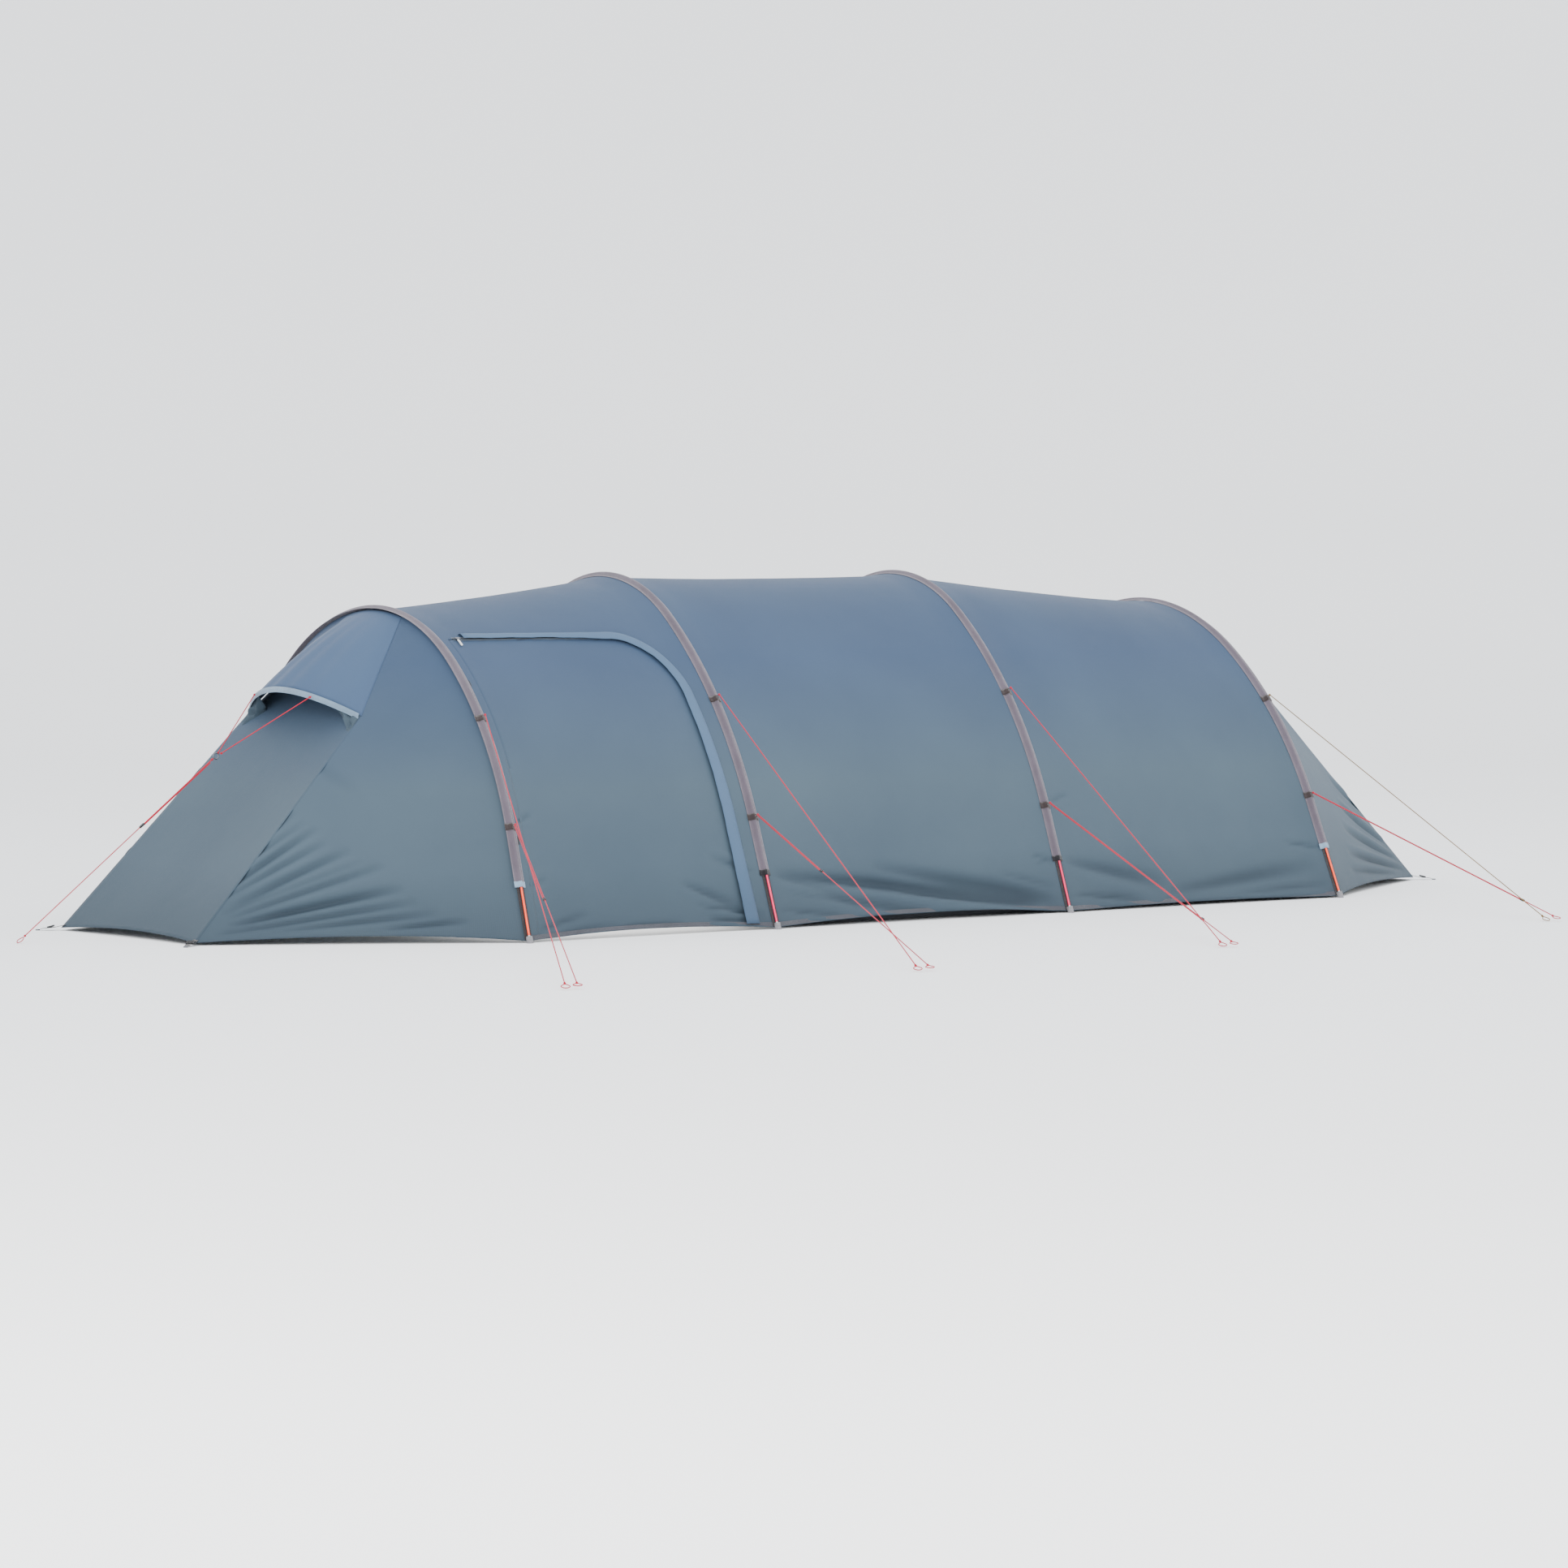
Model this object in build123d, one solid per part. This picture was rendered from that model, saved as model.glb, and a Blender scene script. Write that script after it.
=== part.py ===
"""Four-arch tunnel tent, pitched: poles, sleeves, fly, nose and tail, inner tent and guy lines.

Frame: +Z up, X along the tunnel from the nose (-X) to the tail (+X), Y across it, in millimetres.
The origin is on the ground, midway between the feet of the first and last arch.
An arch is walked from its foot at -Y over the crown to its foot at +Y. Its offset is how far
outside the pole's centre line a point lies, and along is how far behind the arch's own plane.
"""
from build123d import *
from math import cos, pi, radians, sin, sqrt, tan
import os

# Arches
HALF_WIDTH = 1305.0
MIDDLE_HEIGHT = 1550.0
END_HEIGHT = 1412.0
LEG_SPLAY = 20.0
LEG_LENGTH = 500.0
SIDE_TURN = 30.5
FRONT_BAY = 1325.0
MIDDLE_BAY = 1685.0
REAR_BAY = 1685.0
FRONT_LEAN = 3.2
REAR_LEAN = -4.9

# Poles
POLE_RADIUS = 5.5
POLE_WALL = 0.8
SECTION_COUNT = 9
JOINT_GAP = 0.4
FERRULE_LENGTH = 90.0
FERRULE_PLAY = 0.1
SHOCK_CORD_RADIUS = 1.6
POLE_START = 34.0
TIP_SHAFT_RADIUS = 3.8
TIP_INSERT = 22.0
TIP_PLAY = 0.35
CUP_RADIUS = 14.0
CUP_DEPTH = 30.0
CUP_FLOOR = 6.0

# Sleeves and what is sewn on them
SLEEVE_WIDTH = 54.0
SLEEVE_WALL = 1.5
SLEEVE_PLAY = 2.2
SLEEVE_START = 250.0
CUFF_LENGTH = 26.0
CUFF_PLAY = 0.6
CUFF_WALL = 1.6
BAND_LENGTH = 30.0
BAND_PLAY = 0.7
BAND_WALL = 2.2
LUG_WIDTH = 12.0
LUG_HEIGHT = 8.0
LUG_HOLE_RADIUS = 3.0
UPPER_BAND_MIDDLE = 1105.0
UPPER_BAND_END = 1045.0
LOWER_BAND = 518.0

# Fly
FLY_WALL = 2.0
FLY_DROP = 18.5
SEAM_GAP = 3.0
HEM_LIFT = 26.0
STRAP_WIDTH = 36.0
STRAP_WALL = 1.5
STRAP_PLAY = 0.6

# Door in the front bay, on the side at -Y
DOOR_FRONT = 66.0
DOOR_REAR = 1200.0
DOOR_TOP = 1272.0
DOOR_CORNER = 250.0
DOOR_GAP = 4.0
ZIP_WIDTH = 14.0
ZIP_WALL = 2.0
ZIP_PLAY = 0.5
FLAP_WIDTH = 52.0
FLAP_WALL = 1.5
FLAP_LIFT = 12.5
FLAP_START = 215.0
ZIP_START = 165.0
SLIDER_AT = 185.0
SLIDER_LENGTH = 22.0
SLIDER_WIDTH = 12.0
SLIDER_HEIGHT = 5.0
SLIDER_PLAY = 2.6
PULL_LENGTH = 46.0
PULL_WIDTH = 9.0
PULL_WALL = 3.0
TOGGLE_LENGTH = 34.0
TOGGLE_RADIUS = 4.0

# Nose and tail, mirror images apart from the vent hood
NOSE_LENGTH = 1200.0
NOSE_HALF_WIDTH = 557.0
CREASE_BACK = 290.0
CREASE_HALF_WIDTH = 450.0
CREASE_HEIGHT = 945.0
CROWN_HALF_WIDTH = 220.0
PANEL_WALL = 2.4
PANEL_GAP = 7.0
PANEL_STEPS = 12
KNEE_STEP = 9
HOOD_REACH = 420.0
HOOD_HEIGHT = 1060.0
HOOD_CORNER_LIFT = 22.0
HOOD_CROWN = 30.0
HOOD_ROD_RADIUS = 4.0
MESH_DROP = 16.0

# Corner pegging straps
CORNER_STRAP_LENGTH = 90.0
CORNER_STRAP_WIDTH = 25.0
GROMMET_BORE_RADIUS = 5.0
GROMMET_RADIUS = 10.0
GROMMET_HEIGHT = 5.0
BUCKLE_LENGTH = 30.0

# Guy lines, each from its band or tie down to the ground
CORD_RADIUS = 2.0
KNOT_RADIUS = 5.0
KNOT_LENGTH = 14.0
LOOP_RADIUS = 18.0
RING_RADIUS = 13.0
RING_WIRE = 2.5
RING_AT = (-3095, 0, 770)
SLIDER_BAR = (28.0, 13.0, 7.0)
SLIDER_BORE = 2.4
GUY_ROUTES = {
    "guy_line_front_upper": ((-2293, -893, 957), (-3572, -3290, 24)),
    "guy_line_front_lower": ((-2319, -1157, 497), (-3522, -3300, 24)),
    "guy_line_second_upper": ((-1022, -874, 1019), (-1972, -3440, 24)),
    "guy_line_second_lower": ((-1022, -1157, 498), (-1922, -3455, 24)),
    "guy_line_third_upper": ((662, -874, 1019), (-172, -3245, 24)),
    "guy_line_third_lower": ((662, -1157, 498), (-122, -3260, 24)),
    "guy_line_rear_upper": ((2264, -893, 956), (1988, -2995, 24)),
    "guy_line_rear_lower": ((2304, -1157, 496), (2038, -3010, 24)),
    "guy_line_nose": ((-3115, 0, 755), (-4045, 0, 32)),
    "guy_bridle_near": ((-2757, -225, 1024), (-3076, -14, 782)),
    "guy_bridle_far": ((-2757, 225, 1024), (-3076, 14, 782)),
}
SLIDER_SHARES = {
    "guy_line_front_lower": 0.5,
    "guy_line_second_lower": 0.4,
    "guy_line_third_lower": 0.85,
    "guy_line_rear_lower": 0.88,
    "guy_line_nose": 0.38,
}

# Inner tent
INNER_DROP = 88.0
INNER_WALL = 2.0
INNER_END_GAP = 60.0
INNER_STEP = 6.0
TUB_HEIGHT = 92.0
TUB_WALL = 2.5
TUB_GAP = 8.0
INNER_DOOR_HALF_WIDTH = 430.0
INNER_DOOR_HEIGHT = 980.0
INNER_DOOR_SILL = 170.0
INNER_DOOR_CORNER = 220.0
INNER_DOOR_GAP = 4.0
HANGER_RADIUS = 3.0
HANGER_PLAY = 3.0
HANGERS_PER_ARCH = 5

ORIGIN_X = -(FRONT_BAY + MIDDLE_BAY + REAR_BAY) / 2


class Arch:
    """A five-part arch: leg, side arc, crown arc, side arc, leg, all tangent."""

    def __init__(self, x, height, lean):
        self.x = x
        self.lean = radians(lean)
        splay, turn = radians(LEG_SPLAY), radians(SIDE_TURN)
        reach = HALF_WIDTH - LEG_LENGTH * sin(splay)
        rise = height - LEG_LENGTH * cos(splay)
        crown_reach, side_reach = cos(splay + turn), cos(splay) - cos(splay + turn)
        crown_rise, side_rise = 1 - sin(splay + turn), sin(splay + turn) - sin(splay)
        scale = crown_reach * side_rise - side_reach * crown_rise
        self.crown_radius = (reach * side_rise - side_reach * rise) / scale
        self.side_radius = (crown_reach * rise - reach * crown_rise) / scale
        crown_turn = pi - 2 * (splay + turn)
        self.runs = []
        y, z, heading, start = -HALF_WIDTH, 0.0, pi / 2 - splay, 0.0
        plan = (
            (LEG_LENGTH, None),
            (self.side_radius * turn, self.side_radius),
            (self.crown_radius * crown_turn, self.crown_radius),
            (self.side_radius * turn, self.side_radius),
            (LEG_LENGTH, None),
        )
        for length, radius in plan:
            self.runs.append((start, length, radius, y, z, heading))
            y, z, heading = self._walk(length, radius, y, z, heading)
            start += length
        self.length = start

    @staticmethod
    def _walk(step, radius, y, z, heading):
        if radius is None:
            return y + step * cos(heading), z + step * sin(heading), heading
        after = heading - step / radius
        y += radius * (sin(heading) - sin(after))
        z += radius * (cos(after) - cos(heading))
        return y, z, after

    def flat(self, s, offset=0.0):
        """The point and heading at arc length s, in the arch's own plane."""
        run = self.runs[0]
        for candidate in self.runs:
            if s >= candidate[0] - 1e-6:
                run = candidate
        start, _, radius, y, z, heading = run
        y, z, heading = self._walk(s - start, radius, y, z, heading)
        return y - offset * sin(heading), z + offset * cos(heading), heading

    def place(self, y, z, along=0.0):
        """A point of the arch's plane, or along behind it, in the tent's frame."""
        return Vector(
            self.x + z * sin(self.lean) + along * cos(self.lean),
            y,
            z * cos(self.lean) - along * sin(self.lean),
        )

    def at(self, s, offset=0.0, along=0.0):
        y, z, _ = self.flat(s, offset)
        return self.place(y, z, along)

    def forward(self):
        """The direction along the tunnel, square to the arch's plane."""
        return Vector(cos(self.lean), 0, -sin(self.lean))

    def heading(self, s):
        return (self.at(s + 0.5) - self.at(s - 0.5)).normalized()

    def path(self, first, last, offset=0.0, along=0.0):
        """The edges of the arch between two arc lengths, at one offset."""
        edges = []
        for start, length, radius, *_ in self.runs:
            low, high = max(first, start), min(last, start + length)
            if high - low < 1e-6:
                continue
            a, b = self.at(low, offset, along), self.at(high - 1e-9, offset, along)
            if radius is None:
                edges.append(Edge.make_line(a, b))
            else:
                middle = self.at((low + high) / 2, offset, along)
                edges.append(Edge.make_three_point_arc(a, middle, b))
        return edges

    def section(self, first, last, inner, outer, along=0.0):
        """The closed outline of a band that lies between two offsets."""
        top = self.path(first, last, outer, along)
        bottom = self.path(first, last, inner, along)
        ends = [
            Edge.make_line(top[-1] @ 1, bottom[-1] @ 1),
            Edge.make_line(bottom[0] @ 0, top[0] @ 0),
        ]
        return Wire(top + [ends[0]] + bottom[::-1] + [ends[1]])

    def band(self, first, last, inner, outer, low, high):
        """A solid band between two offsets, from low to high along the tunnel."""
        face = Face(self.section(first, last, inner, outer, low))
        return Solid.extrude(face, self.forward() * (high - low))

    def height_at(self, z):
        """The arc length on the first half of the arch where its centre line is z high."""
        low, high = 0.0, self.length / 2
        for _ in range(60):
            middle = (low + high) / 2
            if self.at(middle).Z < z:
                low = middle
            else:
                high = middle
        return low


ARCH_NAMES = ("front", "second", "third", "rear")
ARCHES = (
    Arch(ORIGIN_X, END_HEIGHT, FRONT_LEAN),
    Arch(ORIGIN_X + FRONT_BAY, MIDDLE_HEIGHT, 0.0),
    Arch(ORIGIN_X + FRONT_BAY + MIDDLE_BAY, MIDDLE_HEIGHT, 0.0),
    Arch(ORIGIN_X + FRONT_BAY + MIDDLE_BAY + REAR_BAY, END_HEIGHT, REAR_LEAN),
)


def tube(edges, outer, inner=0.0):
    """A round tube, or a rod, along a chain of edges."""
    path = Wire(edges)
    profile = Plane(origin=path @ 0, z_dir=path % 0) * Circle(outer)
    if inner:
        profile -= Plane(origin=path @ 0, z_dir=path % 0) * Circle(inner)
    return sweep(profile, path=path)


def rod(start, end, radius):
    return tube([Edge.make_line(start, end)], radius)


def slab(rows, shift):
    """A closed sheet over a grid of points, thickened by one vector."""
    top = [[Vector(*p) for p in row] for row in rows]
    bottom = [[p + shift for p in row] for row in top]
    faces = []

    def triangle(*corners):
        faces.append(Face(Wire.make_polygon(corners, close=True)))

    def quad(a, b, c, d):
        triangle(a, b, c)
        triangle(a, c, d)

    last_row, last_column = len(top) - 1, len(top[0]) - 1
    for layer in (top, bottom):
        for i in range(last_row):
            for j in range(last_column):
                quad(layer[i][j], layer[i][j + 1], layer[i + 1][j + 1], layer[i + 1][j])
    for j in range(last_column):
        for i in (0, last_row):
            quad(top[i][j], top[i][j + 1], bottom[i][j + 1], bottom[i][j])
    for i in range(last_row):
        for j in (0, last_column):
            quad(top[i][j], top[i + 1][j], bottom[i + 1][j], bottom[i][j])
    solid = Solid(Shell(faces))
    return solid if solid.volume > 0 else Solid(solid.wrapped.Reversed())


def blend(a, b, share):
    return tuple(p + (q - p) * share for p, q in zip(a, b))


# Poles


def pole_sections(arch):
    """The pole's tubes, end to end with a hair's gap at each joint."""
    first, last = POLE_START, arch.length - POLE_START
    step = (last - first) / SECTION_COUNT
    return [
        tube(
            arch.path(first + i * step + JOINT_GAP / 2, first + (i + 1) * step - JOINT_GAP / 2),
            POLE_RADIUS,
            POLE_RADIUS - POLE_WALL,
        )
        for i in range(SECTION_COUNT)
    ]


def ferrules(arch):
    """The sockets that join the sections, half in one and half in the next."""
    first, last = POLE_START, arch.length - POLE_START
    step = (last - first) / SECTION_COUNT
    outer = POLE_RADIUS - POLE_WALL - FERRULE_PLAY
    half = FERRULE_LENGTH / 2
    return [
        tube(arch.path(first + i * step - half, first + i * step + half), outer, outer - POLE_WALL)
        for i in range(1, SECTION_COUNT)
    ]


def shock_cord(arch):
    first = POLE_START + TIP_INSERT + 2
    return tube(arch.path(first, arch.length - first), SHOCK_CORD_RADIUS)


def ends_of(arch):
    """Each foot as a function from the distance up its leg to a point."""
    return (lambda s: arch.at(s), lambda s: arch.at(arch.length - s))


def pole_tips(arch):
    """Plugs in the pole ends, with a shaft that stands in the foot cup."""
    insert_radius = POLE_RADIUS - POLE_WALL - FERRULE_PLAY
    collar_end = POLE_START - JOINT_GAP
    tips = []
    for leg in ends_of(arch):
        shaft = rod(leg(CUP_FLOOR + TIP_PLAY), leg(CUP_DEPTH), TIP_SHAFT_RADIUS)
        collar = rod(leg(CUP_DEPTH), leg(collar_end), POLE_RADIUS)
        insert = rod(leg(collar_end), leg(POLE_START + TIP_INSERT), insert_radius)
        tips.append(shaft + collar + insert)
    return tips


def pole_cups(arch):
    """The cups that the pole ends stand in, flat on the ground."""
    cups = []
    for leg in ends_of(arch):
        outside = rod(leg(-CUP_RADIUS), leg(CUP_DEPTH - 1), CUP_RADIUS)
        socket = rod(leg(CUP_FLOOR), leg(CUP_DEPTH + 10), TIP_SHAFT_RADIUS + TIP_PLAY)
        ground = Pos(*(leg(0) - Vector(0, 0, CUP_DEPTH + leg(0).Z))) * Box(200, 200, CUP_DEPTH * 2)
        cups.append(outside - socket - ground)
    return cups


# Sleeves and bands


def sleeve(arch, first, last, play, wall, width):
    """A flat fabric tube round the pole, open at both ends."""
    inner = POLE_RADIUS + play
    outer = inner + wall
    body = arch.band(first, last, -outer, outer, -width / 2, width / 2)
    margin = width
    hollow = arch.band(
        max(first - margin, 0), min(last + margin, arch.length),
        -inner, inner, wall - width / 2, width / 2 - wall,
    )
    return body - hollow


def pole_sleeve(arch):
    last = arch.length - SLEEVE_START
    return sleeve(arch, SLEEVE_START, last, SLEEVE_PLAY, SLEEVE_WALL, SLEEVE_WIDTH)


def sleeve_cuffs(arch):
    """Reinforced ends of the sleeve, one at each foot."""
    play = SLEEVE_PLAY + SLEEVE_WALL + CUFF_PLAY
    width = SLEEVE_WIDTH + 2 * (CUFF_PLAY + CUFF_WALL)
    first = SLEEVE_START
    last = arch.length - SLEEVE_START
    return [
        sleeve(arch, first, first + CUFF_LENGTH, play, CUFF_WALL, width),
        sleeve(arch, last - CUFF_LENGTH, last, play, CUFF_WALL, width),
    ]


def guy_band(arch, s):
    """A webbing loop round the sleeve with a lug for the guy line."""
    play = SLEEVE_PLAY + SLEEVE_WALL + BAND_PLAY
    width = SLEEVE_WIDTH + 2 * (BAND_PLAY + BAND_WALL)
    loop = sleeve(arch, s - BAND_LENGTH / 2, s + BAND_LENGTH / 2, play, BAND_WALL, width)
    face = POLE_RADIUS + play + BAND_WALL
    lug = arch.band(
        s - LUG_WIDTH / 2, s + LUG_WIDTH / 2, face - 0.5, face + LUG_HEIGHT, -2.0, 2.0
    )
    centre = arch.at(s, face + LUG_HEIGHT / 2)
    reach = arch.forward() * 10
    return loop + lug - rod(centre - reach, centre + reach, LUG_HOLE_RADIUS)


def band_stations(arch):
    upper = UPPER_BAND_END if arch in (ARCHES[0], ARCHES[3]) else UPPER_BAND_MIDDLE
    return (LOWER_BAND, upper, arch.length - upper, arch.length - LOWER_BAND)


# Fly


def hem_station(arch):
    return HEM_LIFT / (cos(radians(LEG_SPLAY)) * cos(arch.lean))


def bay_skin(front, rear, inner, outer):
    """The cloth between two arches as a ruled skin."""
    sections = []
    for arch, along in ((front, SEAM_GAP), (rear, -SEAM_GAP)):
        hem = hem_station(arch)
        sections.append(arch.section(hem, arch.length - hem, inner, outer, along))
    return Solid.make_loft(sections, ruled=True)


def door_shape(inset):
    """The door's outline seen from the side, grown or shrunk, as a prism across the near wall."""
    front = ARCHES[0].x + DOOR_FRONT + inset
    rear = ARCHES[0].x + DOOR_REAR - inset
    top = DOOR_TOP - inset
    lean = top * tan(ARCHES[0].lean)
    corner = DOOR_CORNER - inset
    # A point on the rounded corner, halfway round it.
    middle = corner * (1 - sqrt(0.5))
    edges = [
        Edge.make_line((front, 0, -HEM_LIFT), (front + lean, 0, top)),
        Edge.make_line((front + lean, 0, top), (rear - corner, 0, top)),
        Edge.make_three_point_arc(
            (rear - corner, 0, top), (rear - middle, 0, top - middle), (rear, 0, top - corner)
        ),
        Edge.make_line((rear, 0, top - corner), (rear, 0, -HEM_LIFT)),
        Edge.make_line((rear, 0, -HEM_LIFT), (front, 0, -HEM_LIFT)),
    ]
    return Pos(0, -HALF_WIDTH / 4, 0) * Solid.extrude(Face(Wire(edges)), Vector(0, -2 * HALF_WIDTH, 0))


def door_border(first_inset, second_inset, start):
    """The strip of the near wall between two outlines of the door, behind a start line."""
    ring = door_shape(first_inset) - door_shape(second_inset)
    x = ARCHES[0].x + start
    size = 4 * HALF_WIDTH
    return ring - Pos(x - size / 2, 0, 0) * Box(size, size, size)


def front_bay():
    return bay_skin(ARCHES[0], ARCHES[1], -FLY_DROP - FLY_WALL, -FLY_DROP) - door_shape(0)


def door_panel():
    whole = bay_skin(ARCHES[0], ARCHES[1], -FLY_DROP - FLY_WALL, -FLY_DROP)
    return whole & door_shape(DOOR_GAP)


def door_zip():
    low = -FLY_DROP + ZIP_PLAY
    skin = bay_skin(ARCHES[0], ARCHES[1], low, low + ZIP_WALL)
    half = ZIP_WIDTH / 2
    return skin & door_border(-half, half, ZIP_START)


def storm_flap():
    low = -FLY_DROP + FLAP_LIFT
    skin = bay_skin(ARCHES[0], ARCHES[1], low, low + FLAP_WALL)
    return skin & door_border(-FLAP_WIDTH / 3, FLAP_WIDTH * 2 / 3, FLAP_START)


def ruled_line(way, offset):
    """The ends of the line that the front bay's cloth is ruled along, way runs over the arches."""
    run = int(way)
    ends = []
    for arch, along in ((ARCHES[0], SEAM_GAP), (ARCHES[1], -SEAM_GAP)):
        start, length = arch.runs[run][:2]
        low = hem_station(arch) if run == 0 else start
        ends.append(arch.at(low + (start + length - low) * (way - run), offset, along))
    return ends


def near_wall_point(x, z, offset):
    """A point of the near wall of the front bay, from where it is seen from the side."""
    low, high = 0.0, 2.5
    for _ in range(50):
        way = (low + high) / 2
        a, b = ruled_line(way, offset)
        point = a + (b - a) * ((x - a.X) / (b.X - a.X))
        if point.Z < z:
            low = way
        else:
            high = way
    return point


def zip_frame():
    """The plane on the top run of the zip: X along the zip, Z out of the cloth."""
    x = ARCHES[0].x + SLIDER_AT
    lift = -FLY_DROP + ZIP_PLAY + ZIP_WALL
    here = near_wall_point(x, DOOR_TOP, lift)
    ahead = near_wall_point(x + 400, DOOR_TOP, lift)
    below = near_wall_point(x, DOOR_TOP - 20, lift)
    run = (ahead - here).normalized()
    down = (below - here).normalized()
    return Plane(origin=here, x_dir=run, z_dir=down.cross(run))


def zip_slider():
    body = Box(SLIDER_LENGTH, SLIDER_WIDTH, SLIDER_HEIGHT)
    body = fillet(body.edges().filter_by(Axis.Z), 3)
    bail = Pos(0, 0, SLIDER_HEIGHT / 2 - 0.7) * (Box(9, 4, 1.4) - Box(5, 8, 1.4))
    return zip_frame() * Pos(0, 0, SLIDER_HEIGHT / 2 + SLIDER_PLAY) * (body + bail)


def zip_pull():
    """A webbing tab that hangs down the door from the slider."""
    tab = Box(PULL_WIDTH, PULL_LENGTH, PULL_WALL)
    tab = fillet(tab.edges().filter_by(Axis.Z), 3)
    eye = Pos(0, PULL_LENGTH / 2 - 7, 0) * Cylinder(1.8, 4 * PULL_WALL)
    drop = -(SLIDER_WIDTH / 2 + PULL_LENGTH / 2 + 1)
    return zip_frame() * Pos(0, drop, SLIDER_HEIGHT / 2 + 1.5) * (tab - eye)


def door_toggles():
    """Toggles on the front sleeve's edge that hold the rolled door."""
    arch = ARCHES[0]
    bars = []
    for z in (1083, 415):
        s = arch.height_at(z)
        start = arch.at(s, -FLY_DROP + 7, SLEEVE_WIDTH / 2 + 6)
        bars.append(rod(start, start + arch.heading(s) * TOGGLE_LENGTH, TOGGLE_RADIUS))
    return bars


def foot_straps(arch):
    """Webbing under the bare length of pole, from the sleeve down to the cup."""
    low = -FLY_DROP + STRAP_PLAY
    high = low + STRAP_WALL
    first, last = hem_station(arch) + 4, SLEEVE_START - 3
    half = STRAP_WIDTH / 2
    return [
        arch.band(first, last, low, high, -half, half),
        arch.band(arch.length - last, arch.length - first, low, high, -half, half),
    ]


# Nose and tail


class End:
    """One closed end of the tunnel. Side is -1 for the nose and +1 for the tail."""

    def __init__(self, arch, side):
        self.arch = arch
        self.side = side

    def point(self, out, y, z):
        """A point a distance out from the end arch's foot line."""
        return (self.arch.x + self.side * out, y, z)

    def on_arch(self, s, drop=0.0):
        p = self.arch.at(s, -FLY_DROP - PANEL_WALL - drop, self.side * (SEAM_GAP + PANEL_WALL))
        return (p.X, p.Y, p.Z)

    def crown_station(self, half_width):
        """The arc length where the first half of the arch is half_width from the middle."""
        low, high = 0.0, self.arch.length / 2
        for _ in range(60):
            middle = (low + high) / 2
            if -self.arch.at(middle, -FLY_DROP).Y > half_width:
                low = middle
            else:
                high = middle
        return low

    def side_panel(self, hand):
        """The triangular side wall: from the end arch's leg and side to the crease."""
        top = self.crown_station(CROWN_HALF_WIDTH + PANEL_GAP)
        foot = self.point(NOSE_LENGTH, -NOSE_HALF_WIDTH, HEM_LIFT)
        knee = self.point(CREASE_BACK, -CREASE_HALF_WIDTH, CREASE_HEIGHT)
        tip = self.on_arch(self.crown_station(CROWN_HALF_WIDTH), 0)
        rows = []
        knee_share = KNEE_STEP / PANEL_STEPS
        for i in range(PANEL_STEPS + 1):
            share = i / PANEL_STEPS
            s = hem_station(self.arch) + share * (top - hem_station(self.arch))
            if share < knee_share:
                crease = blend(foot, knee, share / knee_share)
            else:
                crease = blend(knee, tip, (share - knee_share) / (1 - knee_share))
            arch_point = self.on_arch(s)
            rows.append([blend(arch_point, crease, j / 4) for j in range(5)])
        shift = Vector(self.side * 0.5, -0.7, 0.5).normalized() * PANEL_WALL
        if hand > 0:
            rows = [[(x, -y, z) for x, y, z in row] for row in rows]
            shift = Vector(shift.X, -shift.Y, shift.Z)
        return slab(rows, shift)

    def end_panel(self, to_crown):
        """The panel across the end, up to the crease's knee or on to the crown."""
        low_half = NOSE_HALF_WIDTH - PANEL_GAP
        high_half = CREASE_HALF_WIDTH - PANEL_GAP
        columns = [-1, -0.5, 0, 0.5, 1]
        rows = []
        for share in (0, 0.25, 0.5, 0.75, 1):
            out = NOSE_LENGTH + (CREASE_BACK - NOSE_LENGTH) * share + PANEL_WALL
            half = low_half + (high_half - low_half) * share
            z = HEM_LIFT + (CREASE_HEIGHT - HEM_LIFT) * share
            rows.append([self.point(out, c * half, z) for c in columns])
        if to_crown:
            top = []
            for c in columns:
                y = abs(c) * (CROWN_HALF_WIDTH - PANEL_GAP)
                s = self.crown_station(y) if y else self.arch.length / 2
                x, _, z = self.on_arch(s)
                top.append((x, c * (CROWN_HALF_WIDTH - PANEL_GAP), z))
            for share in (0.5, 1):
                rows.append([blend(a, b, share) for a, b in zip(rows[4], top)])
        return slab(rows, Vector(self.side * 0.8, 0, 0.6) * PANEL_WALL)

    def hood_edge(self, c):
        """A point on the hood's free edge, c from -1 to 1 across it."""
        drop = c * c
        out = HOOD_REACH + (CREASE_BACK - HOOD_REACH) * drop
        z = HOOD_HEIGHT + (CREASE_HEIGHT + HOOD_CORNER_LIFT - HOOD_HEIGHT) * drop
        return self.point(out, c * CREASE_HALF_WIDTH, z)

    def crown_row(self, half_width, drop, count):
        row = []
        for i in range(count + 1):
            c = -1 + 2 * i / count
            y = abs(c) * half_width
            s = self.crown_station(y) if y else self.arch.length / 2
            x, _, z = self.on_arch(s, drop)
            row.append((x, c * half_width, z))
        return row

    def hood(self):
        """The vent hood: from the crown of the arch out to its stiffened edge."""
        count = 8
        crown = self.crown_row(CROWN_HALF_WIDTH - PANEL_GAP, 0, count)
        edge = [self.hood_edge(-1 + 2 * i / count) for i in range(count + 1)]
        rows = []
        for share in (0, 0.25, 0.5, 0.75, 1):
            lift = HOOD_CROWN * 4 * share * (1 - share)
            row = [blend(a, b, share) for a, b in zip(crown, edge)]
            rows.append([(x, y, z + lift) for x, y, z in row])
        return slab(rows, Vector(self.side * 0.5, 0, 0.86) * PANEL_WALL)

    def hood_rod(self):
        """The springy rod in the hood's hem, just outside its cloth."""
        ends = [Vector(*self.hood_edge(c)) for c in (-0.97, 0, 0.97)]
        step = Vector(self.side * 6, 0, -4)
        return tube([Edge.make_three_point_arc(*[p + step for p in ends])], HOOD_ROD_RADIUS)

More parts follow.
